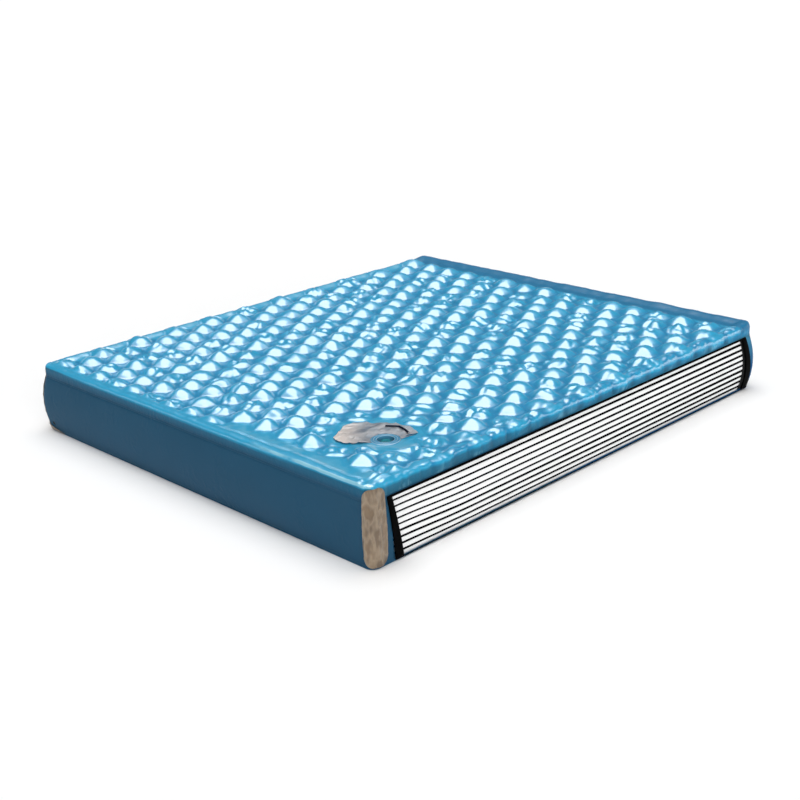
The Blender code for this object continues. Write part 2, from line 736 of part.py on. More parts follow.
def valve():
    """The fill valve, its grey sheet and its moving pieces, about the valve's axis."""
    axis = bpy.data.objects.new("valve_axis", None)
    axis.location = (VALVE_X, VALVE_Y, VALLEY)
    bpy.context.collection.objects.link(axis)
    outline = [(x * SHEET_SPREAD, y * SHEET_SPREAD) for x, y in SHEET_OUTLINE_SHARES]
    sheet = prism_mesh(outline, GAP, GAP + SHEET_THICKNESS)
    sheet = add_part("valve_sheet", sheet, "sheet_vinyl", parent=axis)
    ring = prism_mesh(circle(FLANGE_RADIUS + GAP, TURNED_STEPS), -CUT_OVERRUN, CUT_OVERRUN)
    cut(sheet, cutter("valve_sheet_hole", ring, (VALVE_X, VALVE_Y, VALLEY)))

    brim = GAP + FLANGE_THICKNESS
    lip = brim - WELL_DEPTH
    flange = [
        (WELL_RADIUS, brim),
        (FLANGE_RADIUS - FLANGE_THICKNESS / 2, brim),
        (FLANGE_RADIUS, brim - FLANGE_THICKNESS / 2),
        (FLANGE_RADIUS, GAP),
        (WELL_RADIUS + WELL_WALL, GAP),
        (WELL_RADIUS + WELL_WALL, lip - LIP_THICKNESS),
        (WELL_RADIUS - LIP_WIDTH, lip - LIP_THICKNESS),
        (WELL_RADIUS - LIP_WIDTH, lip),
        (WELL_RADIUS, lip),
    ]
    add_part("valve_flange", turned_mesh(flange), "valve_clear", parent=axis)

    foot = -NECK_FOOT_DEPTH
    neck_radius = NECK_BORE_RADIUS + NECK_WALL
    neck_foot = foot + NECK_FLANGE_THICKNESS
    neck_top = foot + NECK_HEIGHT
    neck = [
        (NECK_BORE_RADIUS, foot),
        (neck_radius + NECK_FLANGE_WIDTH, foot),
        (neck_radius + NECK_FLANGE_WIDTH, neck_foot),
        (neck_radius, neck_foot),
        (neck_radius, neck_top),
        (NECK_BORE_RADIUS, neck_top),
    ]
    add_part("valve_neck", turned_mesh(neck), "valve_clear", parent=axis)

    outer = WELL_RADIUS - GAP
    inner = neck_radius + THREAD_CLEARANCE
    hem = lip + GAP
    seat = neck_foot + GAP
    diaphragm = [
        (inner, seat),
        (inner + DIAPHRAGM_BAND, seat),
        (outer - DIAPHRAGM_BAND, hem),
        (outer, hem),
        (outer, hem + DIAPHRAGM_THICKNESS),
        (outer - DIAPHRAGM_BAND, hem + DIAPHRAGM_THICKNESS),
        (inner + DIAPHRAGM_BAND, seat + DIAPHRAGM_THICKNESS),
        (inner, seat + DIAPHRAGM_THICKNESS),
    ]
    add_part("valve_diaphragm", turned_mesh(diaphragm), "diaphragm", parent=axis)

    head_low = neck_top + GAP
    head_high = head_low + PLUG_HEAD_THICKNESS
    shank = NECK_BORE_RADIUS - GAP
    plug = [
        (0, neck_top - PLUG_LENGTH),
        (shank - GAP, neck_top - PLUG_LENGTH),
        (shank, head_low),
        (neck_radius - GAP, head_low),
        (neck_radius - GAP, head_high),
        (0, head_high),
    ]
    add_part("valve_plug", turned_mesh(plug), "valve_cap", parent=axis)

    seal_low = head_high + GAP
    seal_high = seal_low + SEAL_THICKNESS
    seal = [
        (NECK_BORE_RADIUS / 2, seal_low),
        (neck_radius, seal_low),
        (neck_radius, seal_high),
        (NECK_BORE_RADIUS / 2, seal_high),
    ]
    add_part("cap_seal", turned_mesh(seal), "seal", parent=axis)

    hollow_top = seal_high + GAP
    cap_top = hollow_top + CAP_TOP
    radius = inner + CAP_WALL
    points = circle(radius, 2 * CAP_GRIPS)
    share = 1 - CAP_GRIP_DEPTH / radius
    points = [
        (x, y) if index % 2 else (x * share, y * share)
        for index, (x, y) in enumerate(points)
    ]
    cap = add_part(
        "valve_cap", prism_mesh(points, cap_top - CAP_HEIGHT, cap_top), "valve_cap",
        parent=axis,
    )
    hollow = prism_mesh(
        circle(inner, TURNED_STEPS), cap_top - CAP_HEIGHT - CUT_OVERRUN, hollow_top
    )
    cut(cap, cutter("cap_hollow", hollow, (VALVE_X, VALVE_Y, VALLEY)))


def main():
    """Clear the scene and build every sub-part."""
    for item in list(bpy.data.objects):
        bpy.data.objects.remove(item, do_unlink=True)
    top_panel()
    shell()
    binding()
    stack()
    corner_ties()
    corner_patches()
    for part in list(bpy.data.objects):
        if part.name.startswith(EASED_PARTS):
            ease_corner(part)
    valve()


main()
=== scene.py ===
"""A king-size waterbed mattress, one side cut open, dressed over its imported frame.

Metres, in the frame's own axes: +X is the head end, -Y the side that is cut open, +Z up.
"""

import logging
import math
import random
from dataclasses import dataclass, field
from enum import Enum
from typing import Any, Callable, Iterable

import bmesh
import bpy
from mathutils import Matrix, Vector, noise
from mathutils.bvhtree import BVHTree
from mathutils.geometry import delaunay_2d_cdt
from mathutils.kdtree import KDTree
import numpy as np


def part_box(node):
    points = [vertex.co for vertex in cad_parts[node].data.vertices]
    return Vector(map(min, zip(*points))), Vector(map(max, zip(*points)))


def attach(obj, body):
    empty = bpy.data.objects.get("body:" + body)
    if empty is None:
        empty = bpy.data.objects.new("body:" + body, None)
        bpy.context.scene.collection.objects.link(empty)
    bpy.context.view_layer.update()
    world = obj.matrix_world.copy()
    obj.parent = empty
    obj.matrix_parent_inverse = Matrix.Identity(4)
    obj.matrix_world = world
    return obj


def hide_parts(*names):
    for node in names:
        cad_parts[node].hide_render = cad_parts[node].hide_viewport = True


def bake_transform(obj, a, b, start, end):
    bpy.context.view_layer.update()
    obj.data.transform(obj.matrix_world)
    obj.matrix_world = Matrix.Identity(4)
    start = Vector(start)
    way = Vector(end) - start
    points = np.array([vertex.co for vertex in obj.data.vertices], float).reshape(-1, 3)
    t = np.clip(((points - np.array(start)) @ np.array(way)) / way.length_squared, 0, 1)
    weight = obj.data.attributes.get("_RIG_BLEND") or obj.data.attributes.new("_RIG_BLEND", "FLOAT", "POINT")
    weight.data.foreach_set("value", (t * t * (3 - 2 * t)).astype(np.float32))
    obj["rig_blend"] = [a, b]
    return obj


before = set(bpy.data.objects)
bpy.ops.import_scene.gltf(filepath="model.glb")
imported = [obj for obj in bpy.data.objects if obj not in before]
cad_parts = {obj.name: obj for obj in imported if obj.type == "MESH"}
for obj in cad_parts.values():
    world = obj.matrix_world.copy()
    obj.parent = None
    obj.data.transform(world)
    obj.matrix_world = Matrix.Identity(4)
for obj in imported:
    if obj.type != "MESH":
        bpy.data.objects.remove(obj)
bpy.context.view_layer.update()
log = logging.getLogger("waterbed")

Colour = tuple[float, float, float, float]
Crease = tuple[Vector, float, float, float]
BLACK: Colour = (0.0, 0.0, 0.0, 1.0)


class Body(Enum):
    """The bodies that pieces ride on."""

    BLADDER = "bladder"
    NECK = "valve_neck_body"
    CARRIER = "plug_carrier"
    CAP = "cap_body"


class Side(Enum):
    """The two ends of the opening."""

    FOOT = -1
    HEAD = 1


def smooth_step(low: float, high: float, value: float) -> float:
    """Rise smoothly from 0 at low to 1 at high."""
    share = min(max((value - low) / (high - low), 0.0), 1.0)
    return share * share * (3 - 2 * share)


def ripple(point: Vector, size: float, seed: float = 0.0) -> float:
    """Smooth noise from about -1 to 1 with bumps of the given size."""
    return noise.noise(point / size + Vector((seed, -seed, seed / 2)))


@dataclass(frozen=True)
class Outline:
    """The bladder's seam outline and its levels, read from the frame."""

    length: float
    width: float
    wall_low: float
    wall_high: float
    panel_top: float
    valley: float
    valve: Vector
    corner_radius: float = 0.030
    crown: float = 0.022
    edge_radius: float = 0.022
    ease_start: float = 0.0924
    ease_end: float = 0.4224
    ease_loss: float = 0.80
    gap: float = 0.0003
    panel_rise: float = 0.0554

    @classmethod
    def from_frame(cls) -> "Outline":
        """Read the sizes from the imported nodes.

        Returns:
            The outline that every piece follows.
        """
        panel_low, panel_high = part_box("top_panel")
        wall_low, wall_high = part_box("far_side_wall")
        flange_low, flange_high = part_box("valve_flange")
        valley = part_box("valve_sheet")[0].z - cls.gap
        middle = (flange_low + flange_high) / 2
        return cls(
            length=panel_high.x - panel_low.x,
            width=panel_high.y - panel_low.y,
            wall_low=wall_low.z,
            wall_high=wall_high.z,
            panel_top=panel_low.z + cls.panel_rise,
            valley=valley,
            valve=Vector((middle.x, middle.y, valley)),
        )

    @property
    def core(self) -> Vector:
        """Half sizes of the rectangle through the middles of the corners."""
        return Vector(
            (self.length / 2 - self.corner_radius, self.width / 2 - self.corner_radius)
        )

    def nearest(self, place: Vector) -> tuple[Vector, Vector]:
        """Find how a place lies to the outline.

        Args:
            place: Any point outside the core rectangle.

        Returns:
            The nearest point of the core and the unit vector out from it.
        """
        core = self.core
        inner = Vector(
            (min(max(place.x, -core.x), core.x), min(max(place.y, -core.y), core.y), 0)
        )
        out = Vector((place.x, place.y, 0)) - inner
        return inner, out.normalized()

    def inward(self, place: Vector) -> float:
        """How far a place lies inside the seam outline.

        Args:
            place: Any point.

        Returns:
            The distance, below 0 outside.
        """
        core = self.core
        past = Vector((max(abs(place.x) - core.x, 0), max(abs(place.y) - core.y, 0)))
        if past.length > 0:
            return self.corner_radius - past.length
        return self.corner_radius + min(core.x - abs(place.x), core.y - abs(place.y))

    def bulge(self, height: float) -> float:
        """How far the wall stands past the seam outline at a height."""
        middle = (self.wall_low + self.wall_high) / 2
        share = (height - middle) / (self.wall_high - middle)
        return self.crown * (1 - min(share * share, 1))

    def kept(self, place: Vector) -> float:
        """Share of the bulge that is left at a place, less near the near foot corner."""
        along = max(place.x + self.length / 2, place.y + self.width / 2)
        return 1 - self.ease_loss * smooth_step(self.ease_end, self.ease_start, along)

    def skin(self, height: float, kept: float) -> float:
        """How far the outer skin stands past the seam outline, the rim included.

        Args:
            height: A level.
            kept: The share of the bulge that is left there.

        Returns:
            The distance, below 0 inside.
        """
        round_low = self.panel_top - self.edge_radius
        if height <= self.wall_high:
            return self.bulge(height) * kept
        if height <= round_low:
            return 0.0
        rise = min(height - round_low, self.edge_radius)
        return math.sqrt(self.edge_radius**2 - rise**2) - self.edge_radius


def math_operator(operation: str, swapped: bool = False) -> Callable[..., "Wire"]:
    """Make one of Wire's operators out of a Math node's operation.

    Args:
        operation: The Math node's operation.
        swapped: Whether the wire comes after the other value.

    Returns:
        The operator.
    """

    def apply(wire: "Wire", *others: Any) -> "Wire":
        """Add the Math node on the wire and the other values."""
        return wire.combine(operation, *((*others, wire) if swapped else (wire, *others)))

    return apply


class Wire:
    """A value socket that takes part in sums written as Python expressions."""

    __add__ = __radd__ = math_operator("ADD")
    __sub__ = math_operator("SUBTRACT")
    __rsub__ = math_operator("SUBTRACT", swapped=True)
    __mul__ = math_operator("MULTIPLY")
    __pow__ = math_operator("POWER")
    __abs__ = math_operator("ABSOLUTE")

    def __init__(self, surface: "Surface", socket: bpy.types.NodeSocket) -> None:
        """Wrap one output socket of a surface."""
        self.surface = surface
        self.socket = socket

    def combine(self, operation: str, *values: Any, clamp: bool = False) -> "Wire":
        """Add one Math node on these values."""
        settings = {"operation": operation, "use_clamp": clamp}
        node = self.surface.node("ShaderNodeMath", settings, dict(enumerate(values)))
        return Wire(self.surface, node.outputs[0])

    def clamped(self) -> "Wire":
        """Keep between 0 and 1."""
        return self.combine("ADD", self, 0.0, clamp=True)

    def ramp(self, start: float, end: float) -> "Wire":
        """Go evenly from 0 at start to 1 at end, and stay level outside them."""
        return ((self - start) * (1 / (end - start))).clamped()


class Surface:
    """One material with its Principled shader, built node by node."""

    def __init__(self, name: str) -> None:
        """Start an empty material of this name."""
        self.material = bpy.data.materials.new(name)
        self.material.use_nodes = True
        self.tree = self.material.node_tree
        self.shader = self.tree.nodes["Principled BSDF"]

    def node(
        self,
        kind: str,
        settings: dict[str, Any] | None = None,
        sockets: dict[Any, Any] | None = None,
    ) -> bpy.types.Node:
        """Add a node.

        Args:
            kind: The node's type.
            settings: Its own settings.
            sockets: Values or wires for its inputs, by name or number.

        Returns:
            The node.
        """
        made = self.tree.nodes.new(kind)
        for key, value in (settings or {}).items():
            setattr(made, key, value)
        for key, value in (sockets or {}).items():
            if isinstance(value, Wire):
                self.tree.links.new(value.socket, made.inputs[key])
            else:
                made.inputs[key].default_value = value
        return made

    def wire(self, node: bpy.types.Node, output: int | str = 0) -> Wire:
        """Take one output of a node as a wire."""
        return Wire(self, node.outputs[output])

    def place(self) -> Wire:
        """Object coordinates."""
        return self.wire(self.node("ShaderNodeTexCoord"), "Object")

    def axes(self, place: Wire) -> list[Wire]:
        """Split coordinates into X, Y and Z."""
        node = self.node("ShaderNodeSeparateXYZ", None, {0: place})
        return [self.wire(node, axis) for axis in range(3)]

    def scaled(self, place: Wire, scale: tuple[float, float, float]) -> Wire:
        """Stretch coordinates by three factors."""
        node = self.node("ShaderNodeMapping", None, {"Vector": place, "Scale": scale})
        return self.wire(node)

    def noise(self, place: Wire, scale: float, detail: float = 2.0) -> Wire:
        """Noise from 0 to 1."""
        sockets = {"Vector": place, "Scale": scale, "Detail": detail, "Roughness": 0.55}
        return self.wire(self.node("ShaderNodeTexNoise", None, sockets))

    def ridges(self, place: Wire, scale: float, detail: float = 2.0) -> Wire:
        """Thin bright creases where smooth noise crosses its middle."""
        return abs(self.noise(place, scale, detail) - 0.5).ramp(1 / 7, 0.0)

    def attribute(self, name: str) -> Wire:
        """A number that the mesh carries at its points."""
        node = self.node("ShaderNodeAttribute", {"attribute_name": name})
        return self.wire(node, "Fac")

    def blend(self, factor: Wire, first: Wire | Colour, second: Wire | Colour) -> Wire:
        """Blend two colours, either of which may be a wire."""
        sockets = {"Factor": factor, 6: first, 7: second}
        node = self.node("ShaderNodeMix", {"data_type": "RGBA"}, sockets)
        return self.wire(node, 2)

    def bump(self, height: Wire, distance: float, strength: float = 1.0) -> None:
        """Feed a height in shares of a distance to the shader's normal."""
        sockets = {"Height": height, "Distance": distance, "Strength": strength}
        node = self.node("ShaderNodeBump", None, sockets)
        self.tree.links.new(node.outputs[0], self.shader.inputs["Normal"])

    def set(self, **sockets: Any) -> None:
        """Set or link the shader's own sockets, named with _ for a space.

        Args:
            **sockets: Values or wires, by socket.
        """
        for key, value in sockets.items():
            socket = self.shader.inputs[key.replace("_", " ")]
            if isinstance(value, Wire):
                self.tree.links.new(value.socket, socket)
            else:
                socket.default_value = value


def rgb(red: int, green: int, blue: int) -> Colour:
    """Turn 8-bit display values into a linear colour."""
    shares = [value / 255 for value in (red, green, blue)]
    linear = [s / 12.92 if s <= 0.04045 else ((s + 0.055) / 1.055) ** 2.4 for s in shares]
    return (*linear, 1.0)


@dataclass(frozen=True)
class Finish:
    """A finish with a name and two colours, made into a material once."""

    name: str
    light: Colour
    deep: Colour

    def material(self) -> bpy.types.Material:
        """Return the finish's material, painted on first use.

        Returns:
            The material.
        """
        label = self.name + "_look"
        made = bpy.data.materials.get(label)
        if made is None:
            surface = Surface(label)
            self.paint(surface)
            made = surface.material
        return made

    def paint(self, surface: Surface) -> None:
        """Lay the finish's nodes.

        Args:
            surface: The surface to paint.
        """
        raise NotImplementedError


@dataclass(frozen=True)
class Vinyl(Finish):
    """Soft glossy vinyl with faint crinkles and clouds of a deeper colour."""

    roughness: float = 0.20
    crinkle: float = 0.0010
    gloss: float = 1.5
    # near and lit_near_top: painted light on the near side's strip by the foot post, lighter at its top.
    near: Colour | None = None
    lit_near_top: Colour = BLACK
    mottle: float = 0.0

    def colour(self, surface: Surface, place: Wire) -> Wire:
        """Cloud the colour a little, and on the near side, if asked to, paint light on the strip by the foot
        post, lighter towards its top.

        Args:
            surface: The surface that is painted.
            place: Its coordinates.

        Returns:
            The colour.
        """
        colour = surface.blend(surface.noise(place, 5.0, 3.0), self.light, self.deep)
        if self.near:
            along, across, up = surface.axes(place)
            # Painted light: the near strip lighter, most towards its top.
            near = surface.blend(up.ramp(0.10, 0.225), self.near, self.lit_near_top)
            side = across.ramp(-0.905, -0.9175) * along.ramp(-0.25, 0.0)
            colour = surface.blend(side, colour, near)
        return colour

    def paint(self, surface: Surface) -> None:
        """Lay the vinyl's nodes.

        Args:
            surface: The surface to paint.
        """
        place = surface.place()
        colour = self.colour(surface, place)
        fine = surface.noise(place, 260.0, 3.0)
        creases = surface.ridges(place, 26.0, 1.0)
        patches = surface.noise(place, 9.0).ramp(0.45, 0.70)
        height = creases * patches + fine * 0.08
        if self.mottle > 0:
            height = height + surface.noise(place, 88.0, 2.0) * self.mottle
        roughness = self.roughness + fine * 0.06
        surface.set(Base_Color=colour, Roughness=roughness, IOR=self.gloss)
        surface.bump(height, self.crinkle)


@dataclass(frozen=True)
class BubbleVinyl(Vinyl):
    """The top's high-gloss vinyl, which turns dull and dark down its rim, partly its own darker colour and
    partly painted shade.
    """

    # rim is the rim's dark foot, partly the side vinyl's colour and partly painted shade; near_rim is the
    # near rim's colour at the foot end and also paints shade in its hollows; pale paints highlights.
    rim: Colour = BLACK
    near_rim: Colour = BLACK
    side_rim: Colour = BLACK
    pale: Colour = BLACK
    head_band: Colour = BLACK
    head_limits: tuple[float, float] = (0.965, 0.985)
    near_limits: tuple[float, float] = (-0.885, -0.9017)
    head_fade: float = 0.85
    shine: float = 3.2
    blur: float = 0.20
    mottle: float = 2.1

    def colour(self, surface: Surface, place: Wire) -> Wire:
        """Paint shade into the hollows, pale highlights on the bare vinyl, the foot edge and the rim's
        creases, and darken the rim towards its seam, partly as painted shade.

        Args:
            surface: The surface that is painted.
            place: Its coordinates.

        Returns:
            The colour.
        """
        hollow = surface.attribute("hollow")
        along, across, _ = surface.axes(place)
        cloud = (surface.noise(place, 5.0, 3.0) - 0.5) * 0.35
        # Deeper colour in the hollows between bubbles is painted shade, clouded a little at random.
        colour = surface.blend((hollow + cloud).clamped(), self.light, self.deep)
        # Pale where the hollow value is below 0, on the bare vinyl and in a line along the foot edge:
        # painted sheen and highlight.
        sheen = hollow * -5.0 * surface.noise(place, 11.0, 2.0).ramp(0.35, 1.35)
        colour = surface.blend(sheen.clamped(), colour, self.pale)
        colour = surface.blend(along.ramp(*self.head_limits), colour, self.head_band)
        side = surface.blend(along.ramp(-1.0, 1.0), self.near_rim, self.side_rim)
        # Pale vertical streaks on the near rim: painted highlights on its creases.
        ticks = surface.ridges(surface.scaled(place, (1.0, 1.0, 0.12)), 38.0, 1.0)
        patches = surface.noise(place, 9.0).ramp(0.5, 2 / 3)
        side = surface.blend(ticks * patches * 0.5, side, self.pale)
        # Darker between the bubbles where they reach the rim: painted shade.
        side = surface.blend(hollow.clamped() * 0.8, side, self.near_rim)
        # Towards the seam the colour turns to the dark rim colour; the gradient down the roll is partly
        # painted shade.
        rim = surface.blend(across.ramp(*self.near_limits), self.rim, side)
        return surface.blend(surface.attribute("rim"), colour, rim)

    def paint(self, surface: Surface) -> None:
        """Lay the vinyl's nodes under a coat that fades down the rim and at the head.

        Args:
            surface: The surface to paint.
        """
        super().paint(surface)
        head = surface.axes(surface.place())[0].ramp(*self.head_limits)
        left = surface.attribute("rim").ramp(1 / 3, 0.0)
        surface.set(
            Coat_Weight=left * (1.0 - head * self.head_fade),
            Coat_IOR=self.shine,
            Coat_Roughness=self.blur,
        )


@dataclass(frozen=True)
class Fibre(Finish):
    """White bonded polyester fibre, seen at its cut edge."""

    def paint(self, surface: Surface) -> None:
        """Lay the fibre's nodes.

        Args:
            surface: The surface to paint.
        """
        place = surface.place()
        strands = surface.noise(surface.scaled(place, (1.0, 1.0, 7.0)), 95.0, 5.0)
        fluff = surface.noise(place, 420.0, 4.0)
        shade = strands.ramp(0.52, 0.853) * 0.6
        surface.set(Base_Color=surface.blend(shade, self.light, self.deep), Roughness=0.92)
        surface.bump(strands * 0.7 + fluff * 0.4, 0.0012, 0.7)


@dataclass(frozen=True)
class Matt(Finish):
    """A plain matt stuff with a fine grain."""

    roughness: float = 0.8
    grain: float = 500.0
    depth: float = 0.0004
    sheen: float = 0.02

    def paint(self, surface: Surface) -> None:
        """Lay the grain's nodes.

        Args:
            surface: The surface to paint.
        """
        place = surface.place()
        cloud = surface.noise(place, 30.0, 3.0)
        grain = surface.noise(place, self.grain, 3.0)
        surface.set(
            Base_Color=surface.blend(cloud, self.light, self.deep),
            Roughness=self.roughness + (grain - 0.5) * 0.2,
            Specular_IOR_Level=self.sheen,
        )
        surface.bump(grain, self.depth, 0.6)


@dataclass(frozen=True)
class Woven(Finish):
    """A woven strap."""

    def paint(self, surface: Surface) -> None:
        """Lay the weave's nodes.

        Args:
            surface: The surface to paint.
        """
        place = surface.place()
        sockets = {"Vector": place, "Scale": 180.0}
        weave = surface.node("ShaderNodeTexWave", {"bands_direction": "Z"}, sockets)
        ribs = surface.wire(weave, "Fac")
        colour = surface.blend(ribs * 0.6, self.light, self.deep)
        surface.set(Base_Color=colour, Roughness=0.85)
        surface.bump(ribs, 0.0004, 0.8)


@dataclass(frozen=True)
class Crinkled(Finish):
    """Thin vinyl that is crinkled all over, tinted towards one end, with painted highlights on its folds and
    colour that follows its crinkles, partly painted shade.
    """

    pale: Colour
    roughness: float = 0.28
    crease_scale: float = 38.0
    crease_depth: float = 0.0030
    tint_start: float = 0.0
    tint_end: float = 0.0
    fold_highlight: float = 0.2
    shine: float = 1.7
    contrast: float = 3.0
    stretch: tuple[float, float, float] = (1.0, 1.0, 1.0)

    def paint(self, surface: Surface) -> None:
        """Lay the crinkles' nodes.

        Args:
            surface: The surface to paint.
        """
        place = surface.place()
        place_along = surface.scaled(place, self.stretch)
        bent = surface.noise(place_along, self.crease_scale * 0.5, 2.0)
        folds = surface.ridges(place_along, self.crease_scale, 1.5)
        # Colour follows the same noise as the bump: partly random tone, partly painted shade of the
        # crinkles.
        shade = ((bent - 0.42) * self.contrast + 0.35).clamped()
        colour = surface.blend(shade, self.light, self.deep)
        if self.tint_start != self.tint_end:
            along, across, _ = surface.axes(place)
            share = ((across - along) * math.sqrt(0.5)).ramp(self.tint_start, self.tint_end)
            colour = surface.blend(share, colour, self.pale)
        # Pale on the fold ridges: painted highlights.
        colour = surface.blend(folds * self.fold_highlight, colour, self.pale)
        surface.set(
            Base_Color=colour,
            Roughness=self.roughness + bent * 0.12,
            Coat_Weight=1.0,
            Coat_IOR=self.shine,
            Coat_Roughness=self.roughness,
        )
        surface.bump(folds + bent, self.crease_depth, 0.8)


@dataclass(frozen=True)
class Moulded(Finish):
    """Smooth moulded plastic with faint mould marks."""

    roughness: float = 0.15
    coat: float = 0.5
    ring: Colour | None = None
    ring_radii: tuple[float, float, float] = (0.0295, 0.0390, 0.0485)
    ring_width: float = 1 / 900

    def rings(self, surface: Surface, place: Wire) -> Wire:
        """Pale thin rings about the valve's middle, from 0 to 1.

        Args:
            surface: The surface that is painted.
            place: Its coordinates.

        Returns:
            How much of a ring there is at a place.
        """
        low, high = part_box("valve_flange")
        along, across, _ = surface.axes(place)
        along, across = along - (low.x + high.x) / 2, across - (low.y + high.y) / 2
        radius = (along * along + across * across) ** 0.5
        lines = [abs(radius - at).ramp(self.ring_width, 0.0) for at in self.ring_radii]
        return (lines[0] + lines[1] + lines[2]).clamped()

    def paint(self, surface: Surface) -> None:
        """Lay the plastic's nodes.

        Args:
            surface: The surface to paint.
        """
        place = surface.place()
        cloud = surface.noise(place, 60.0, 2.0)
        grain = surface.noise(place, 900.0, 2.0)
        colour = surface.blend(cloud, self.light, self.deep)
        if self.ring:
            colour = surface.blend(self.rings(surface, place) * cloud * 1.6, colour, self.ring)
        surface.set(
            Base_Color=colour,
            Roughness=self.roughness + grain * 0.08,
            Coat_Weight=self.coat,
            Coat_Roughness=0.1,
        )
        surface.bump(grain + cloud, 0.0003, 0.4)


TOP_VINYL = BubbleVinyl(
    "top_vinyl",
    rgb(36, 179, 227),
    rgb(12, 150, 203),
    roughness=0.50,
    crinkle=0.0006,
    gloss=1.3,
    rim=rgb(2, 70, 102),
    near_rim=rgb(28, 86, 112),
    side_rim=rgb(34, 126, 170),
    pale=rgb(150, 220, 244),
    head_band=rgb(34, 116, 158),
)
SIDE_VINYL = Vinyl(
    "side_vinyl",
    rgb(38, 82, 110),
    rgb(35, 76, 102),
    0.5,
    gloss=1.16,
    near=rgb(18, 84, 134),
    lit_near_top=rgb(66, 134, 164),
)
BASE_VINYL = Vinyl("base_vinyl", rgb(24, 84, 132), rgb(20, 68, 110), roughness=0.34)
FIBRE = Fibre("fibre", rgb(250, 250, 250), rgb(234, 236, 238))
SPACER = Matt("spacer", rgb(10, 10, 10), rgb(4, 4, 4), roughness=0.9)
BINDING = Matt("binding", rgb(6, 6, 6), rgb(2, 2, 2), roughness=0.6)
WEBBING = Woven("webbing", rgb(16, 16, 17), rgb(7, 7, 8))
CORNER_VINYL = Crinkled(
    "corner_vinyl",
    rgb(134, 110, 80),
    rgb(78, 60, 42),
    rgb(206, 188, 162),
    crease_scale=44.0,
    fold_highlight=0.26,
    shine=1.4,
    crease_depth=0.0050,
    contrast=1.5,
    stretch=(1.0, 1.0, 0.42),
)
SHEET_VINYL = Crinkled(
    "sheet_vinyl",
    rgb(178, 186, 194),
    rgb(96, 112, 130),
    rgb(244, 230, 220),
    crease_scale=30.0,
    tint_start=0.13,
    tint_end=0.23,
    fold_highlight=0.22,
    stretch=(0.55, 1.0, 1.0),
)
# A dark strip on the valve sheet: painted shadow of a crease.
FOLD_SHADOW = Matt("fold_shadow", rgb(34, 44, 66), rgb(24, 30, 48), roughness=0.4)
CLEAR_VINYL = Moulded(
    "clear_vinyl", rgb(92, 164, 200), rgb(70, 146, 186), coat=1.0, ring=rgb(204, 220, 226)
)
# Peach shading to grey: the peach stands in for a glint in the clear neck, a painted reflection.
CLEAR_NECK = Moulded("clear_neck", rgb(236, 218, 204), rgb(206, 206, 204), coat=1.0)
TEAL_SKIN = Moulded("teal_skin", rgb(20, 132, 148), rgb(12, 100, 116), roughness=0.3)
CAP_PLASTIC = Moulded("cap_plastic", rgb(24, 140, 154), rgb(16, 112, 128))
SEAL_RUBBER = Matt("seal_rubber", rgb(40, 40, 42), rgb(26, 26, 28), roughness=0.7)


def heading(azimuth: float, elevation: float) -> Vector:
    """Unit vector towards a direction in degrees, from the near side round to the head."""
    turn, up = math.radians(azimuth), math.radians(elevation)
    return Vector((math.sin(turn) * math.cos(up), -math.cos(turn) * math.cos(up), math.sin(up)))


def add_object(name: str, data: Any) -> bpy.types.Object:
    """Link a new object with this data to the scene."""
    made = bpy.data.objects.new(name, data)
    bpy.context.scene.collection.objects.link(made)
    return made


def to_mesh(name: str, bm: bmesh.types.BMesh, material: bpy.types.Material) -> bpy.types.Mesh:
    """Turn a bmesh, which is freed, into a mesh of one material.

    Args:
        name: The mesh's name.
        bm: The bmesh.
        material: Its material.

    Returns:
        The mesh.
    """
    mesh = bpy.data.meshes.new(name)
    bm.to_mesh(mesh)
    bm.free()
    mesh.materials.append(material)
    return mesh


def finish_piece(
    name: str,
    bm: bmesh.types.BMesh,
    look: Finish,
    body: Body | None,
    nodes: Iterable[str] = (),
    sharp: float = 40.0,
    recalculate: bool = True,
) -> bpy.types.Object:
    """Turn a bmesh into a finished piece.

    Args:
        name: The piece's name.
        bm: Its mesh, which is freed.
        look: The finish it wears.
        body: The body it rides on, or None for a piece that is blended.
        nodes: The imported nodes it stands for.
        sharp: Edges that turn more than this many degrees stay sharp.
        recalculate: Whether its faces are first turned to point outwards.

    Returns:
        The piece's object.
    """
    if recalculate:
        bmesh.ops.recalc_face_normals(bm, faces=bm.faces)
    mesh = to_mesh(name, bm, look.material())
    mesh.shade_smooth()
    mesh.set_sharp_from_angle(angle=math.radians(sharp))
    piece = add_object(name, mesh)
    if body:
        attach(piece, body.value)
    if nodes:
        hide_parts(*nodes)
    log.info("%s: %d faces", name, len(mesh.polygons))
    return piece


def thicken(piece: bpy.types.Object, thickness: float, outward: bool = False) -> None:
    """Give an open skin its thickness."""
    solid = piece.modifiers.new("thickness", "SOLIDIFY")
    solid.thickness = thickness
    solid.offset = 1.0 if outward else -1.0


def verts_of(made: Iterable[Any]) -> list[bmesh.types.BMVert]:
    """Pick the vertices out of an operator's result."""
    return [item for item in made if isinstance(item, bmesh.types.BMVert)]


def edges_of(made: Iterable[Any]) -> list[bmesh.types.BMEdge]:
    """Pick the edges out of an operator's result."""
    return [item for item in made if isinstance(item, bmesh.types.BMEdge)]


def soften(
    bm: bmesh.types.BMesh, geom: list[Any], offset: float, segments: int = 3, **settings: Any
) -> None:
    """Round off edges, or the corners of a flat face."""
    given = {"offset_type": "OFFSET", "profile": 0.5, "affect": "EDGES", "material": -1}
    bmesh.ops.bevel(bm, geom=geom, offset=offset, segments=segments, **(given | settings))


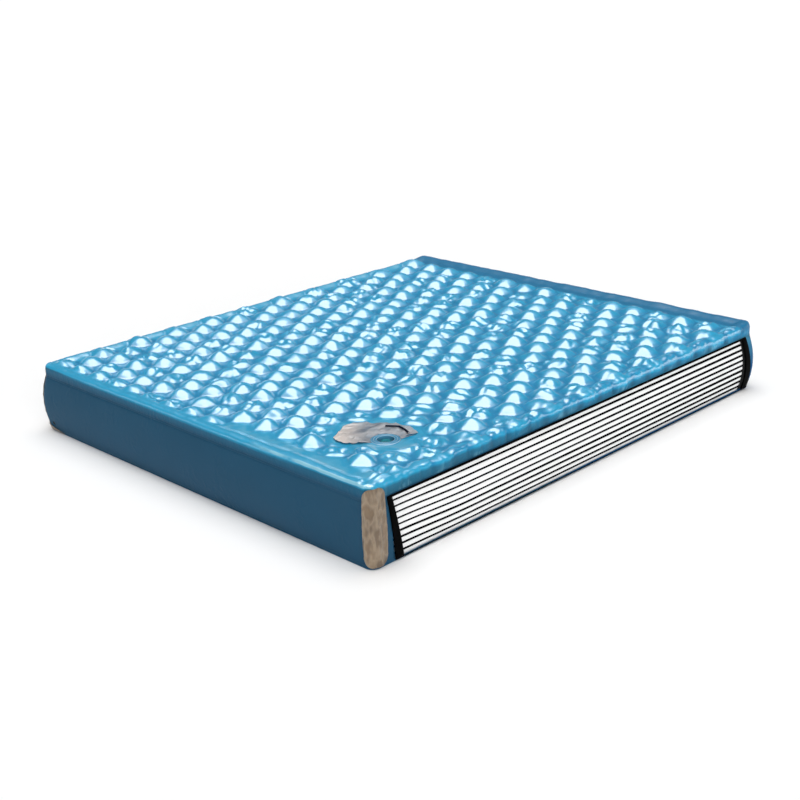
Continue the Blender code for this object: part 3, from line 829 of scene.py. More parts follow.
def push_clear(bm: bmesh.types.BMesh, middle: Vector, radius: float) -> None:
    """Push the vertices that lie inside a round hole out to its rim.

    Args:
        bm: The mesh.
        middle: The hole's middle.
        radius: Its radius.
    """
    for vert in bm.verts:
        away = vert.co.xy - middle
        if away.length < radius:
            vert.co.xy = middle + away.normalized() * radius


def rounded_face(
    bm: bmesh.types.BMesh,
    size: Vector,
    radius: float,
    height: float,
    segments: int,
    pitch: float = 0.0,
) -> bmesh.types.BMFace:
    """Add one flat rounded rectangle.

    Args:
        bm: The mesh to add it to.
        size: Its full length and width.
        radius: The radius of its corners.
        height: The level it lies at.
        segments: Faces round each corner.
        pitch: Longest edge left along its sides, or 0 to leave them whole.

    Returns:
        The face.
    """
    made = bmesh.ops.create_grid(bm, x_segments=1, y_segments=1, size=0.5)["verts"]
    bmesh.ops.scale(bm, verts=made, vec=(size.x, size.y, 1))
    bmesh.ops.translate(bm, verts=made, vec=(0, 0, height))
    soften(bm, made, radius, segments, affect="VERTICES")
    bm.faces.ensure_lookup_table()
    face = bm.faces[-1]
    if pitch > 0:
        for edge in list(face.edges):
            cuts = int(edge.calc_length() / pitch)
            if cuts > 1:
                bmesh.ops.subdivide_edges(bm, edges=[edge], cuts=cuts)
        bm.faces.ensure_lookup_table()
        face = max(bm.faces, key=lambda item: len(item.verts))
    return face


def rounded_slab(
    size: Vector, radius: float, levels: tuple[float, float], segments: int, pitch: float
) -> bmesh.types.BMesh:
    """Make a closed slab on a rounded rectangle, between two levels.

    Args:
        size: Its full length and width.
        radius: The radius of its corners.
        levels: Its lower and upper level.
        segments: Faces round each corner.
        pitch: Longest edge left along its sides.

    Returns:
        The slab's mesh.
    """
    bm = bmesh.new()
    low, high = levels
    face = rounded_face(bm, size, radius, low, segments, pitch)
    geom = [*face.verts, *face.edges, face]
    made = bmesh.ops.extrude_face_region(bm, geom=geom)["geom"]
    bmesh.ops.translate(bm, verts=verts_of(made), vec=(0, 0, high - low))
    return bm


@dataclass
class SkinBand:
    """A strip of skin that runs round the seam outline, row by row."""

    outline: Outline
    pitch: float = 0.011
    corner_segments: int = 12

    def build(
        self,
        rows: list[tuple[float, float]],
        ruffle: Callable[[Vector], float] | None = None,
        close: bool = False,
    ) -> bmesh.types.BMesh:
        """Extrude the outline through a list of rows.

        Args:
            rows: Offset past the outline and height of each row.
            ruffle: Extra offset at a point of the skin.
            close: Whether the last row joins the first.

        Returns:
            The strip's mesh.
        """
        bm = bmesh.new()
        size = Vector((self.outline.length, self.outline.width))
        radius = self.outline.corner_radius
        face = rounded_face(bm, size, radius, 0, self.corner_segments, self.pitch)
        bmesh.ops.delete(bm, geom=[face], context="FACES_ONLY")
        ring = list(bm.edges)
        first = list(ring)
        for index, (offset, height) in enumerate(rows):
            if index:
                ring = edges_of(bmesh.ops.extrude_edge_only(bm, edges=ring)["geom"])
            for vert in {vert for edge in ring for vert in edge.verts}:
                inner, out = self.outline.nearest(vert.co)
                spot = inner + out * (radius + offset * self.outline.kept(vert.co))
                spot.z = height
                extra = ruffle(spot) if ruffle else 0.0
                vert.co = spot + out * extra
        if close:
            bmesh.ops.bridge_loops(bm, edges=first + ring)
        return bm


@dataclass
class BubbleField:
    """The staggered bubbles of the top, as centres and cells."""

    outline: Outline
    side_margin: float = 0.034
    head_margin: float = 0.090
    first_column: float = 0.062
    column_pitch: float = 0.085
    column_gain: float = 0.0012
    row_pitch: float = 0.117
    bare_strip_width: float = 0.105
    bare_strip_start: float = 0.060
    bare_strip_length: float = 0.650
    bare_radius: float = 0.202
    bare_offset: float = 0.045
    low_radius: float = 0.170
    low_share: float = 0.58
    low_across: tuple[float, float] = (-0.01, 0.03)
    low_along: tuple[float, float] = (-0.9, 0.93)
    height: float = 0.0265
    spread: tuple[float, float] = (0.82, 1.12)
    crumpled: float = 0.46
    crumple: tuple[float, float] = (0.003, 0.006)
    low_crumple: tuple[float, float] = (0.002, 0.004)
    plain_crumple: float = 0.0018
    dented: float = 0.5
    dent_aside: float = 0.014
    dent_width: tuple[float, float] = (0.014, 0.022)
    dent_depth: tuple[float, float] = (0.010, 0.017)
    crease_counts: tuple[int, ...] = (1, 1, 2, 3)
    crease_radius: tuple[float, float] = (0.020, 0.060)
    crease_width: tuple[float, float] = (0.005, 0.010)
    crease_depth: tuple[float, float] = (0.004, 0.009)
    pointed: tuple[float, float] = (1.45, 2.2)
    footprint: float = 0.91
    jitter: float = 0.005
    seed: int = 11
    centres: list[Vector] = field(default_factory=list)
    heights: list[float] = field(default_factory=list)
    creases: list[list[Crease]] = field(default_factory=list)
    crumples: list[float] = field(default_factory=list)
    powers: list[float] = field(default_factory=list)

    def __post_init__(self) -> None:
        """Lay out the bubbles and draw each one's own height and creases."""
        dice = random.Random(self.seed)
        half = Vector((self.outline.length / 2, self.outline.width / 2))
        columns = [self.first_column - half.x - self.column_pitch]
        while columns[-1] < half.x + self.column_pitch:
            step = self.column_pitch + self.column_gain * max(len(columns) - 2, 0)
            columns.append(columns[-1] + step)
        rows = int((self.outline.width - 2 * self.side_margin) / self.row_pitch)
        for index, x in enumerate(columns):
            shift = self.row_pitch / 4 * (1 if index % 2 else -1)
            for row in range(-1, rows + 1):
                y = (row - rows / 2 + 1 / 2) * self.row_pitch + shift
                place = Vector((x, y, 0))
                real = -half.x < x < half.x - self.head_margin - self.column_pitch / 2
                real = real and 0 <= row < rows and not self.is_bare(x, y)
                aside = Vector((dice.uniform(-1, 1), dice.uniform(-1, 1), 0))
                self.centres.append(place + aside * self.jitter)
                self.heights.append(self.height * dice.uniform(*self.spread) if real else 0.0)
                crumpled = real and dice.random() < self.crumpled
                self.creases.append(self.draw_creases(dice, place) if crumpled else [])
                crumple = dice.uniform(*self.crumple) if crumpled else self.plain_crumple
                self.crumples.append(crumple)
                self.powers.append(dice.uniform(*self.pointed))
        self.add_low_bubbles(dice)
        self.tree = KDTree(len(self.centres))
        for index, centre in enumerate(self.centres):
            self.tree.insert(centre, index)
        self.tree.balance()

    def add_low_bubbles(self, dice: random.Random) -> None:
        """Raise the low crumpled bubbles round the valve and along the near edge.

        Args:
            dice: The seeded source of chance.
        """
        valve = self.outline.valve
        near, far = self.low_across
        start, end = self.low_along
        for index, centre in enumerate(self.centres):
            away = math.hypot(centre.x - valve.x, centre.y - valve.y - self.bare_offset)
            round_valve = self.low_radius < away < self.bare_radius
            past = centre.y + self.outline.width / 2
            on_edge = near < past < far and start < centre.x < end
            if self.heights[index] == 0 and (round_valve or on_edge):
                self.heights[index] = self.height * self.low_share
                self.creases[index] = self.draw_creases(dice, centre)
                self.crumples[index] = dice.uniform(*self.low_crumple)

    def is_bare(self, x: float, y: float) -> bool:
        """Whether the top is smooth there, round the valve or on the foot strip.

        Args:
            x: Where the place lies along the bladder.
            y: Where it lies across.

        Returns:
            True where no bubble stands.
        """
        valve = self.outline.valve
        if math.hypot(x - valve.x, y - valve.y - self.bare_offset) < self.bare_radius:
            return True
        along = y + self.outline.width / 2 - self.bare_strip_start
        from_foot = x + self.outline.length / 2
        return from_foot < self.bare_strip_width and 0 < along < self.bare_strip_length

    def draw_creases(self, dice: random.Random, place: Vector) -> list[Crease]:
        """Draw the curved creases of one bubble.

        Args:
            dice: The seeded source of chance.
            place: The bubble's middle.

        Returns:
            Each crease's centre, radius, width and depth; a dent's radius is 0.
        """
        made = []
        if dice.random() < self.dented:
            aside = Vector((dice.uniform(-1, 1), dice.uniform(-1, 1), 0)) * self.dent_aside
            width, depth = dice.uniform(*self.dent_width), dice.uniform(*self.dent_depth)
            made.append((place + aside, 0.0, width, depth))
        for _ in range(dice.choice(self.crease_counts)):
            turn = dice.uniform(0, 2 * math.pi)
            radius = dice.uniform(*self.crease_radius)
            reach = radius * dice.uniform(0.6, 1.1)
            centre = place + Vector((math.cos(turn), math.sin(turn), 0)) * reach
            width, depth = dice.uniform(*self.crease_width), dice.uniform(*self.crease_depth)
            made.append((centre, radius, width, depth))
        return made

    def rise(self, place: Vector) -> tuple[float, float]:
        """Find the bubble surface over a place.

        Args:
            place: A point of the top, seen from above.

        Returns:
            The rise above the valleys and how hollow the place is, from 0 to 1.
        """
        spot = Vector((place.x, place.y, 0))
        (_, first, near), (_, second, far) = self.tree.find_n(spot, 2)
        share = min(2 * near / max(near + far, 1e-6), 1.0)
        height = self.heights[first]
        # The hollow value drives the top's painted shade in the valleys; below 0, on the bare vinyl, it
        # drives painted sheen.
        hollow = smooth_step(0.62, 0.94, share)
        if height == 0:
            return 0.0, -0.25 + 0.45 * hollow * (self.heights[second] > 0)
        if self.heights[second] == 0:
            hollow *= 0.20
        lift = height * (1 - min(share / self.footprint, 1) ** self.powers[first])
        inside = smooth_step(1.0, 0.70, share)
        ridge = 1 - abs(ripple(place, 0.042, first * 1.7)) * 2
        lift += self.crumples[first] * (ridge - 0.6) * inside
        for centre, radius, width, depth in self.creases[first]:
            off = abs((place - centre).length - radius) / width
            sag = math.exp(-off) if radius else math.exp(-off * off)
            lift -= depth * sag * inside
        return lift, hollow


@dataclass
class TopSkin:
    """The bubbled top with its rolled rim and the hole for the valve."""

    outline: Outline
    field: BubbleField
    cuts: int = 8
    rim_pitch: float = 0.056
    rim_rows: int = 7
    border: float = 0.060
    head_roll: float = 0.006
    tuck: float = 0.014
    roll_power: float = 0.72
    straight_rows: tuple[float, ...] = (0.35, 0.7, 0.95)
    # line_rows and line_highlight: where and how strongly a painted highlight line runs along the foot edge.
    line_rows: tuple[float, float] = (-0.30, -0.12)
    line_highlight: float = -2.4
    near_side: tuple[float, float] = (-0.86, -0.90)
    towards_head: tuple[float, float] = (-0.6, 0.3)
    near_corner: tuple[float, float] = (-0.30, -0.75)
    far_corner: tuple[float, float] = (0.55, 0.88)
    lump_share: float = 0.34
    lump_inset: float = 0.048
    valve_reach: float = 0.3
    swells: tuple[tuple[float, ...], ...] = (
        (-0.150, -0.030, 0.026, 0.026, 0.018),
        (-0.112, -0.028, 0.026, 0.026, 0.018),
        (-0.230, -0.180, 0.030, 0.034, 0.017),
        (-0.262, -0.196, 0.036, 0.010, 0.008),
        (-0.240, -0.222, 0.042, 0.009, 0.007),
        (-0.205, -0.243, 0.036, 0.008, 0.006),
        (-0.020, -0.135, 0.060, 0.030, 0.010),
        (-0.255, 0.120, 0.030, 0.085, 0.008),
    )

    def __post_init__(self) -> None:
        """Keep the sheet round the valve ready for finding how far a place is from it."""
        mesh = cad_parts["valve_sheet"].data
        spots = [Vector((*vert.co.xy, 0)) for vert in mesh.vertices]
        self.sheet = BVHTree.FromPolygons(spots, [face.vertices[:] for face in mesh.polygons])

    def points(self) -> tuple[list[Vector], int]:
        """Lay the flat points that the top is triangulated through.

        Returns:
            The points, border first and the valve's hole next, and how many form the border.
        """
        inset = self.outline.edge_radius
        valve = self.outline.valve.xy
        bm = bmesh.new()
        size = Vector((self.outline.length - 2 * inset, self.outline.width - 2 * inset))
        radius = self.outline.corner_radius - inset
        face = rounded_face(bm, size, radius, 0, 4, self.rim_pitch)
        border = [Vector(vert.co.xy) for vert in face.verts]
        bm.free()
        hole_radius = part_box("valve_diaphragm")[1].x - valve.x + 0.0036
        turns = [turn * math.pi / 8 for turn in range(16)]
        hole = [valve + hole_radius * Vector((math.cos(turn), math.sin(turn))) for turn in turns]
        centres = [centre.xy for centre in self.field.centres]
        triangles = delaunay_2d_cdt(centres, [], [], 0, 1e-5)[2]
        corners = [self.circumcentre(*(centres[i] for i in triangle)) for triangle in triangles]
        inner = [
            spot for spot in centres + corners
            if (spot - valve).length > hole_radius * 1.3
            and self.outline.inward(spot.to_3d()) > inset + 0.008
        ]
        return [*border, *hole, *inner], len(border)

    @staticmethod
    def circumcentre(a: Vector, b: Vector, c: Vector) -> Vector:
        """The point at one distance from three others.

        Args:
            a: The first point.
            b: The second.
            c: The third.

        Returns:
            The point, or their mean if they lie in line.
        """
        ab, ac = b - a, c - a
        cross = 2 * (ab.x * ac.y - ab.y * ac.x)
        if abs(cross) < 1e-9:
            return (a + b + c) / 3
        x = (ac.y * ab.length_squared - ab.y * ac.length_squared) / cross
        y = (ab.x * ac.length_squared - ac.x * ab.length_squared) / cross
        return a + Vector((x, y))

    def level(self, place: Vector) -> tuple[float, float]:
        """Find the top over a place.

        Args:
            place: A point of the top, seen from above.

        Returns:
            The height there and how hollow it is, below 0 on the bare vinyl.
        """
        outline = self.outline
        inward = outline.inward(place)
        edge = outline.edge_radius
        swell = 1 - smooth_step(edge, self.border, inward)
        base = outline.valley + (outline.panel_top - outline.valley) * swell
        head = outline.length / 2 - place.x
        base += self.head_roll * (1 - smooth_step(edge, self.field.head_margin, head))
        rise, hollow = self.field.rise(place)
        if rise > 0 and (place.xy - outline.valve.xy).length < self.valve_reach:
            rise *= self.clear(place)
        aside = smooth_step(0.10, 0.05, outline.width / 2 - abs(place.y))
        start = -0.92 if place.y < 0 else -1.05
        over = aside * smooth_step(start, start + 0.3, place.x)
        margin = self.field.side_margin + 0.016 - 0.014 * over
        fade = smooth_step(edge * (1 - 0.9 * over), margin, inward)
        pucker = ripple(place, 0.045, 3.0) * 0.0016 + ripple(place, 0.16, 7.0) * 0.0020
        if rise == 0:
            base += self.swell(place) * smooth_step(edge * 0.4, edge * 1.3, inward)
        return base + rise * fade + pucker * (1 - 0.4 * fade), hollow * fade

    def clear(self, place: Vector) -> float:
        """How far a place is clear of the sheet and the flange, from 0 to 1.

        Args:
            place: A point of the top, seen from above.

        Returns:
            The share.
        """
        place = Vector((place.x, place.y, 0))
        _, _, _, away = self.sheet.find_nearest(place)
        beside = (place - self.outline.valve.xy.to_3d()).length
        return smooth_step(0.003, 0.030, away) * smooth_step(0.053, 0.070, beside)

    def swell(self, place: Vector) -> float:
        """Rise of the smooth vinyl round the valve and along the foot, clear of the sheet.

        Args:
            place: A point of the top, seen from above.

        Returns:
            The rise.
        """
        height = 0.0020 * (1 + ripple(place, 0.060, 9.0)) + 0.0010 * ripple(place, 0.026, 2.0)
        for x, y, along, across, rise in self.swells:
            off = place.xy - self.outline.valve.xy - Vector((x, y))
            height += rise * math.exp(-((off.x / along) ** 2) - (off.y / across) ** 2)
        return height * self.clear(place)

    def lump(self, spot: Vector, out: Vector) -> tuple[float, float]:
        """Swell the rim in front of a bubble of the near side, and find its hollows.

        Args:
            spot: A point of the rim.
            out: The unit vector out from the bladder there.

        Returns:
            How far the rim stands out and how hollow it is there, from 0 to 1.
        """
        if out.y > -0.9 or spot.x < -0.8:
            return 0.0, 0.0
        rise, hollow = self.field.rise(spot - out * self.lump_inset)
        low = self.outline.wall_high
        share = smooth_step(low + 0.001, low + 0.016, spot.z)
        crease = (1 - abs(ripple(spot, 0.020, 8.0)) * 2.5) * 0.0014
        return rise * self.lump_share * share + crease * share, hollow

    def pleat(self, spot: Vector) -> float:
        """Small pleats that run over the rim.

        Args:
            spot: A point of the rim.

        Returns:
            How far the rim stands out there, below 0.
        """
        fine = abs(ripple(Vector((spot.x, spot.y, 0)), 0.028, 5.0))
        deep = 0.0008 + 0.0050 * smooth_step(*self.near_side, spot.y)
        low = self.outline.wall_high
        return -deep * (1 - fine) ** 6 * smooth_step(low + 0.002, low + 0.014, spot.z)

    def build(self) -> None:
        """Model the skin as one closed pillow."""
        spots, border_count = self.points()
        outer = list(range(border_count))
        places, _, triangles, _, _, _ = delaunay_2d_cdt(spots, [], [outer], 1, 1e-5)
        bm = bmesh.new()
        layer = bm.verts.layers.float.new("hollow")
        bm.verts.layers.float.new("rim")
        verts = [bm.verts.new((*spot, 0)) for spot in places]
        valve = self.outline.valve.xy
        hole_radius = (spots[border_count] - valve).length
        for triangle in triangles:
            corners = [verts[index] for index in triangle]
            if any((vert.co.xy - valve).length >= hole_radius * 1.01 for vert in corners):
                bm.faces.new(corners)
        loose = [vert for vert in bm.verts if not vert.link_faces]
        bmesh.ops.delete(bm, geom=loose, context="VERTS")
        bmesh.ops.subdivide_edges(bm, edges=bm.edges, cuts=self.cuts, use_grid_fill=True)
        push_clear(bm, valve, hole_radius)
        for vert in bm.verts:
            vert.co.z, vert[layer] = self.level(vert.co)
        rim = [
            edge for edge in bm.edges
            if edge.is_boundary and (edge.verts[0].co.xy - valve).length > hole_radius * 2
        ]
        self.roll_rim(bm, rim)
        piece = finish_piece(
            "top_skin", bm, TOP_VINYL, Body.BLADDER, ["top_panel"], 75.0
        )

    @property
    def straight(self) -> float:
        """Height of the plain strip between the rolled edge and the seam."""
        outline = self.outline
        return outline.panel_top - outline.edge_radius - (outline.wall_high + outline.gap)

    def rim_profile(self) -> list[tuple[float, float]]:
        """List each row of the rim, as how far it stands out and how high past the edge.

        Returns:
            The rows, from the top to the seam.
        """
        edge = self.outline.edge_radius
        foot = -edge - self.straight
        tight = self.roll_power
        turns = [math.pi / 2 * step / self.rim_rows for step in range(1, self.rim_rows + 1)]
        rows = [
            (edge * (math.sin(turn) ** tight - 1), edge * (max(math.cos(turn), 0) ** tight - 1))
            for turn in turns
        ]
        rows += [(0.0, -edge - self.straight * share) for share in self.straight_rows]
        return rows + [(-0.0015, foot), (-self.tuck, foot)]

    def rim_shade(self, spot: Vector, out: Vector, drop: float) -> float:
        """Find how far the rim has turned from the top's look to its dull dark foot, a darkening that is
        partly painted shade.

        Args:
            spot: A point of the rim.
            out: The unit vector out from the bladder there.
            drop: Its height past the top's edge, which is negative.

        Returns:
            The share, from 0 to 1: late on the near side, early at the foot end's corners.
        """
        edge = self.outline.edge_radius
        late = smooth_step(*self.near_side, spot.y) * 0.45
        late *= smooth_step(*self.towards_head, spot.x)
        ends = smooth_step(*self.near_corner, spot.y) + smooth_step(*self.far_corner, spot.y)
        early = ends * (0.40 if out.x < -0.5 else 0.0)
        turned = smooth_step(-(0.25 + late) * edge, -(1.05 + late - early) * edge, drop)
        return 0.88 * turned + 0.12 * smooth_step(-edge, -edge - self.straight, drop)

    def roll_rim(self, bm: bmesh.types.BMesh, ring: list[bmesh.types.BMEdge]) -> None:
        """Roll the rim down to the seam and close the underside.

        Args:
            bm: The top's mesh.
            ring: The edges of its border.
        """
        outline = self.outline
        edge = outline.edge_radius
        rim = bm.verts.layers.float["rim"]
        hollow = bm.verts.layers.float["hollow"]
        line_low, line_high = (share * edge for share in self.line_rows)
        top_of = {vert: vert.co.z for item in ring for vert in item.verts}
        for offset, drop in self.rim_profile():
            made = bmesh.ops.extrude_edge_only(bm, edges=ring)["geom"]
            ring = edges_of(made)
            fresh = {}
            for vert in verts_of(made):
                others = (link.other_vert(vert) for link in vert.link_edges)
                start = next(top_of[other] for other in others if other in top_of)
                inner, out = outline.nearest(vert.co)
                spot = inner + out * (outline.corner_radius + offset)
                fall = drop / (edge + self.straight)
                spot.z = start + (outline.panel_top - start) * min(-fall * 3, 1) + drop
                lump, vert[hollow] = self.lump(spot, out)
                # A pale painted highlight line along the foot end's edge near the corner.
                if out.x < -0.5 and line_low < drop < line_high:
                    vert[hollow] = self.line_highlight * smooth_step(*self.near_corner, spot.y)
                lump *= smooth_step(0, -0.4 * edge, drop)
                vert.co = spot + out * (self.pleat(spot) + lump)
                vert[rim] = self.rim_shade(spot, out, drop)
                fresh[vert] = start
            top_of = fresh
        holes = [item for item in bm.edges if item.is_boundary and item not in ring]
        bmesh.ops.triangle_fill(bm, use_beauty=True, edges=ring)
        made = bmesh.ops.extrude_edge_only(bm, edges=holes)["geom"]
        for vert in verts_of(made):
            vert.co.z = outline.wall_high + 2 * outline.gap


@dataclass
class SideSkin:
    """The bulging side walls, cut open on the near side, and their weld seams."""

    outline: Outline
    opening: "Opening"
    rows: int = 22
    skin: float = 0.0016
    seam_reach: float = 0.0040
    posts: float = 0.12
    round_share: float = 1.03
    dent: Vector = field(default_factory=lambda: Vector((-1.078, 0.868, 0.038)))
    dent_reach: float = 0.012
    dent_depth: float = 0.0045

    def ruffle(self, spot: Vector) -> float:
        """Gentle waves of the filled wall, with pinches and a dent at its corners.

        Args:
            spot: A point of the wall.

        Returns:
            How far the wall stands out there, past its even bulge.
        """
        core = self.outline.core
        near_x = abs(spot.x) - core.x
        near_y = abs(spot.y) - core.y
        corner = smooth_step(0.16, 0.0, -min(near_x, near_y)) if max(near_x, near_y) > 0 else 0
        middle = self.outline.bulge(spot.z) / self.outline.crown
        wide = ripple(spot, 0.42, 1.0) * 0.0022 + ripple(spot, 0.15, 2.0) * 0.0007
        folds = ripple(Vector((spot.x, spot.y, spot.z * 0.25)), 0.030, 4.0)
        away = (spot - self.dent).length / self.dent_reach
        dent = self.dent_depth * math.exp(-away * away)
        return wide * middle - abs(folds) * 0.0022 * corner * (1 - 0.6 * middle) - dent

    def build(self) -> None:
        """Model the walls and their two seams."""
        outline = self.outline
        low, high = outline.wall_low, outline.wall_high
        levels = [low + (high - low) * row / self.rows for row in range(self.rows + 1)]
        rows = [(outline.bulge(level), level) for level in levels]
        bm = SkinBand(outline).build(rows, self.ruffle)
        self.opening.cut_away(bm)
        nodes = ["foot_wall", "head_wall", "far_side_wall"]
        nodes += ["near_wall_foot_post", "near_wall_head_post"]
        walls = finish_piece("side_skin", bm, SIDE_VINYL, Body.BLADDER, nodes)
        thicken(walls, self.skin)
        self.seam("seam_top", high)
        self.seam("seam_bottom", low)

    def seam(self, name: str, height: float) -> None:
        """Model a flat weld seam round the outline.

        Args:
            name: The piece's name.
            height: The level of its middle.
        """
        reach = self.seam_reach
        turns = [math.pi * step / 8 for step in range(9)]
        rows = [
            (reach * math.sin(turn) * 0.45 - 0.0006, height - reach * math.cos(turn))
            for turn in turns
        ]
        bm = SkinBand(self.outline, pitch=0.02).build(rows, close=True)
        finish_piece(name, bm, SIDE_VINYL, Body.BLADDER, ())


@dataclass
class BottomSkin:
    """The plain underside with its rounded edge."""

    outline: Outline

    def build(self) -> None:
        """Model the underside as a thin closed slab."""
        low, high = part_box("bottom_panel")
        size = Vector((high.x - low.x, high.y - low.y))
        bm = rounded_slab(size, self.outline.corner_radius, (0, high.z), 12, 0.05)
        rim = [edge for edge in bm.edges if edge.verts[0].co.z == edge.verts[1].co.z]
        soften(bm, rim, high.z * 0.4)
        piece = finish_piece(
            "bottom_skin", bm, BASE_VINYL, Body.BLADDER, ["bottom_panel"]
        )


@dataclass
class Opening:
    """The cut in the near side and the black strips that bind it."""

    outline: Outline
    proud: float = 0.0008
    depth: float = 0.0038
    edge: float = 0.0009
    rows: int = 16
    side_reach: float = 0.012

    @staticmethod
    def plane(node: str, side: Side, inner: bool) -> tuple[Vector, Vector]:
        """Read a leaning edge of a binding strip from its node.

        Args:
            node: The strip's node.
            side: Which end of the opening it binds.
            inner: Whether its edge towards the opening is wanted.

        Returns:
            A point of the edge's plane and its normal, towards the head end.
        """
        points = [vert.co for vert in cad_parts[node].data.vertices]
        low = min(point.z for point in points)
        high = max(point.z for point in points)
        pick = max if (side is Side.FOOT) == inner else min
        bottom = pick(point.x for point in points if point.z < low + 0.001)
        top = pick(point.x for point in points if point.z > high - 0.001)
        rise = Vector((top - bottom, 0, high - low))
        return Vector((bottom, 0, low)), Vector((rise.z, 0, -rise.x)).normalized()

    def cut_away(self, bm: bmesh.types.BMesh) -> None:
        """Cut the opening out of a skin that runs all round.

        Args:
            bm: The skin's mesh.
        """
        foot = self.plane("binding_foot_side", Side.FOOT, inner=False)
        head = self.plane("binding_head_side", Side.HEAD, inner=False)
        for point, normal in (foot, head):
            near = [face for face in bm.faces if self.is_near(face)]
            verts = {vert for face in near for vert in face.verts}
            edges = {edge for face in near for edge in face.edges}
            geom = [*verts, *edges, *near]
            bmesh.ops.bisect_plane(bm, geom=geom, plane_co=point, plane_no=normal)
        spare = [face for face in bm.faces if self.is_between(face, foot, head)]
        bmesh.ops.delete(bm, geom=spare, context="FACES")

    def is_near(self, face: bmesh.types.BMFace) -> bool:
        """Whether a face lies on the near side's skin."""
        return face.calc_center_median().y < self.side_reach - self.outline.width / 2

    def is_between(self, face: bmesh.types.BMFace, foot: tuple, head: tuple) -> bool:
        """Whether a face lies in the opening.

        Args:
            face: A face of the skin.
            foot: The foot side's edge, as plane gives it.
            head: The head side's.

        Returns:
            True where it has to go.
        """
        middle = face.calc_center_median()
        past_foot = (middle - foot[0]).dot(foot[1]) > 0
        before_head = (middle - head[0]).dot(head[1]) < 0
        return self.is_near(face) and past_foot and before_head

    def strip(
        self, name: str, bounds: list[tuple[Vector, Vector, int]], low: float, high: float
    ) -> None:
        """Model one binding strip.

        Args:
            name: The strip's node, which names the piece too.
            bounds: Planes with the side of each that is dropped.
            low: The strip's lowest level.
            high: Its highest level.
        """
        outline = self.outline
        rows = max(int(self.rows * (high - low) / (outline.wall_high - outline.wall_low)), 2)
        levels = [low + (high - low) * row / rows for row in range(rows + 1)]
        band = SkinBand(outline, pitch=0.02)
        bm = band.build([(outline.bulge(level) + self.proud, level) for level in levels])
        spare = [face for face in bm.faces if not self.is_near(face)]
        bmesh.ops.delete(bm, geom=spare, context="FACES")
        for point, normal, side in bounds:
            geom = [*bm.verts, *bm.edges, *bm.faces]
            bmesh.ops.bisect_plane(
                bm, geom=geom, plane_co=point, plane_no=normal * side, clear_outer=True
            )
        piece = finish_piece(
            name + "_tape", bm, BINDING, Body.BLADDER, [name], recalculate=False
        )
        thicken(piece, self.depth)
        bevel = piece.modifiers.new("soft_edge", "BEVEL")
        bevel.width = self.edge
        bevel.segments = 2
        bevel.limit_method = "ANGLE"

    def build(self) -> None:
        """Model the four strips."""
        foot_out = self.plane("binding_foot_side", Side.FOOT, inner=False)
        foot_in = self.plane("binding_foot_side", Side.FOOT, inner=True)
        head_out = self.plane("binding_head_side", Side.HEAD, inner=False)
        head_in = self.plane("binding_head_side", Side.HEAD, inner=True)
        low, high = self.outline.wall_low, self.outline.wall_high
        self.strip("binding_foot_side", [(*foot_out, -1), (*foot_in, 1)], low, high)
        self.strip("binding_head_side", [(*head_in, -1), (*head_out, 1)], low, high)
        across = [(*foot_in, -1), (*head_in, 1)]
        self.strip("binding_top", across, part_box("binding_top")[0].z, high)
        self.strip("binding_bottom", across, low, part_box("binding_bottom")[1].z)


@dataclass
class FibreStack:
    """The fibre layers and the dark spacer sheets between them."""

    outline: Outline
    fibre_edge: float = 0.0012
    spacer_edge: float = 0.0008
    pitch: float = 0.022
    squeeze: float = 0.0036

    def mat(self, node: str, look: Finish, edge: float, wave: float) -> None:
        """Model one sheet of the stack over its node.

        Args:
            node: The node it stands for.
            look: Its finish.
            edge: The rounding of its edges.
            wave: How far its cut edge wanders.
        """
        low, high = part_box(node)
        size = Vector((high.x - low.x, high.y - low.y))
        past = (size.x - self.outline.length) / 2
        radius = self.outline.corner_radius + past
        bm = rounded_slab(size, radius, (low.z, high.z), 6, self.pitch)
        middle = (low.z + high.z) / 2
        squeeze = -self.squeeze if look is FIBRE else self.squeeze
        for vert in bm.verts:
            taken = squeeze * smooth_step(-1.1, 1.3, vert.co.x) - squeeze * 0.14
            vert.co.z += math.copysign(0.5, vert.co.z - middle) * taken
            _, out = self.outline.nearest(vert.co)
            slope = self.outline.bulge(vert.co.z) * self.outline.kept(vert.co)
            slope -= self.outline.bulge(self.fullest(low, high))
            extra = ripple(vert.co, 0.06, low.z * 90) * wave - wave
            vert.co += out * (slope + extra)
        upper = {vert for vert in bm.verts if vert.co.z > middle}
        rim = [item for item in bm.edges if len(upper.intersection(item.verts)) != 1]
        soften(bm, rim, edge)
        piece = finish_piece(node + "_mat", bm, look, Body.BLADDER, [node])

    def fullest(self, low: Vector, high: Vector) -> float:
        """The level of a sheet where the walls bulge most."""
        middle = (self.outline.wall_low + self.outline.wall_high) / 2
        return min(max(middle, low.z), high.z)

    def build(self) -> None:
        """Model every layer and every spacer."""
        for node in sorted(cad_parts):
            if node.startswith("fibre_layer"):
                self.mat(node, FIBRE, self.fibre_edge, 0.0005)
            elif node.startswith("spacer_sheet"):
                self.mat(node, SPACER, self.spacer_edge, 0.0003)


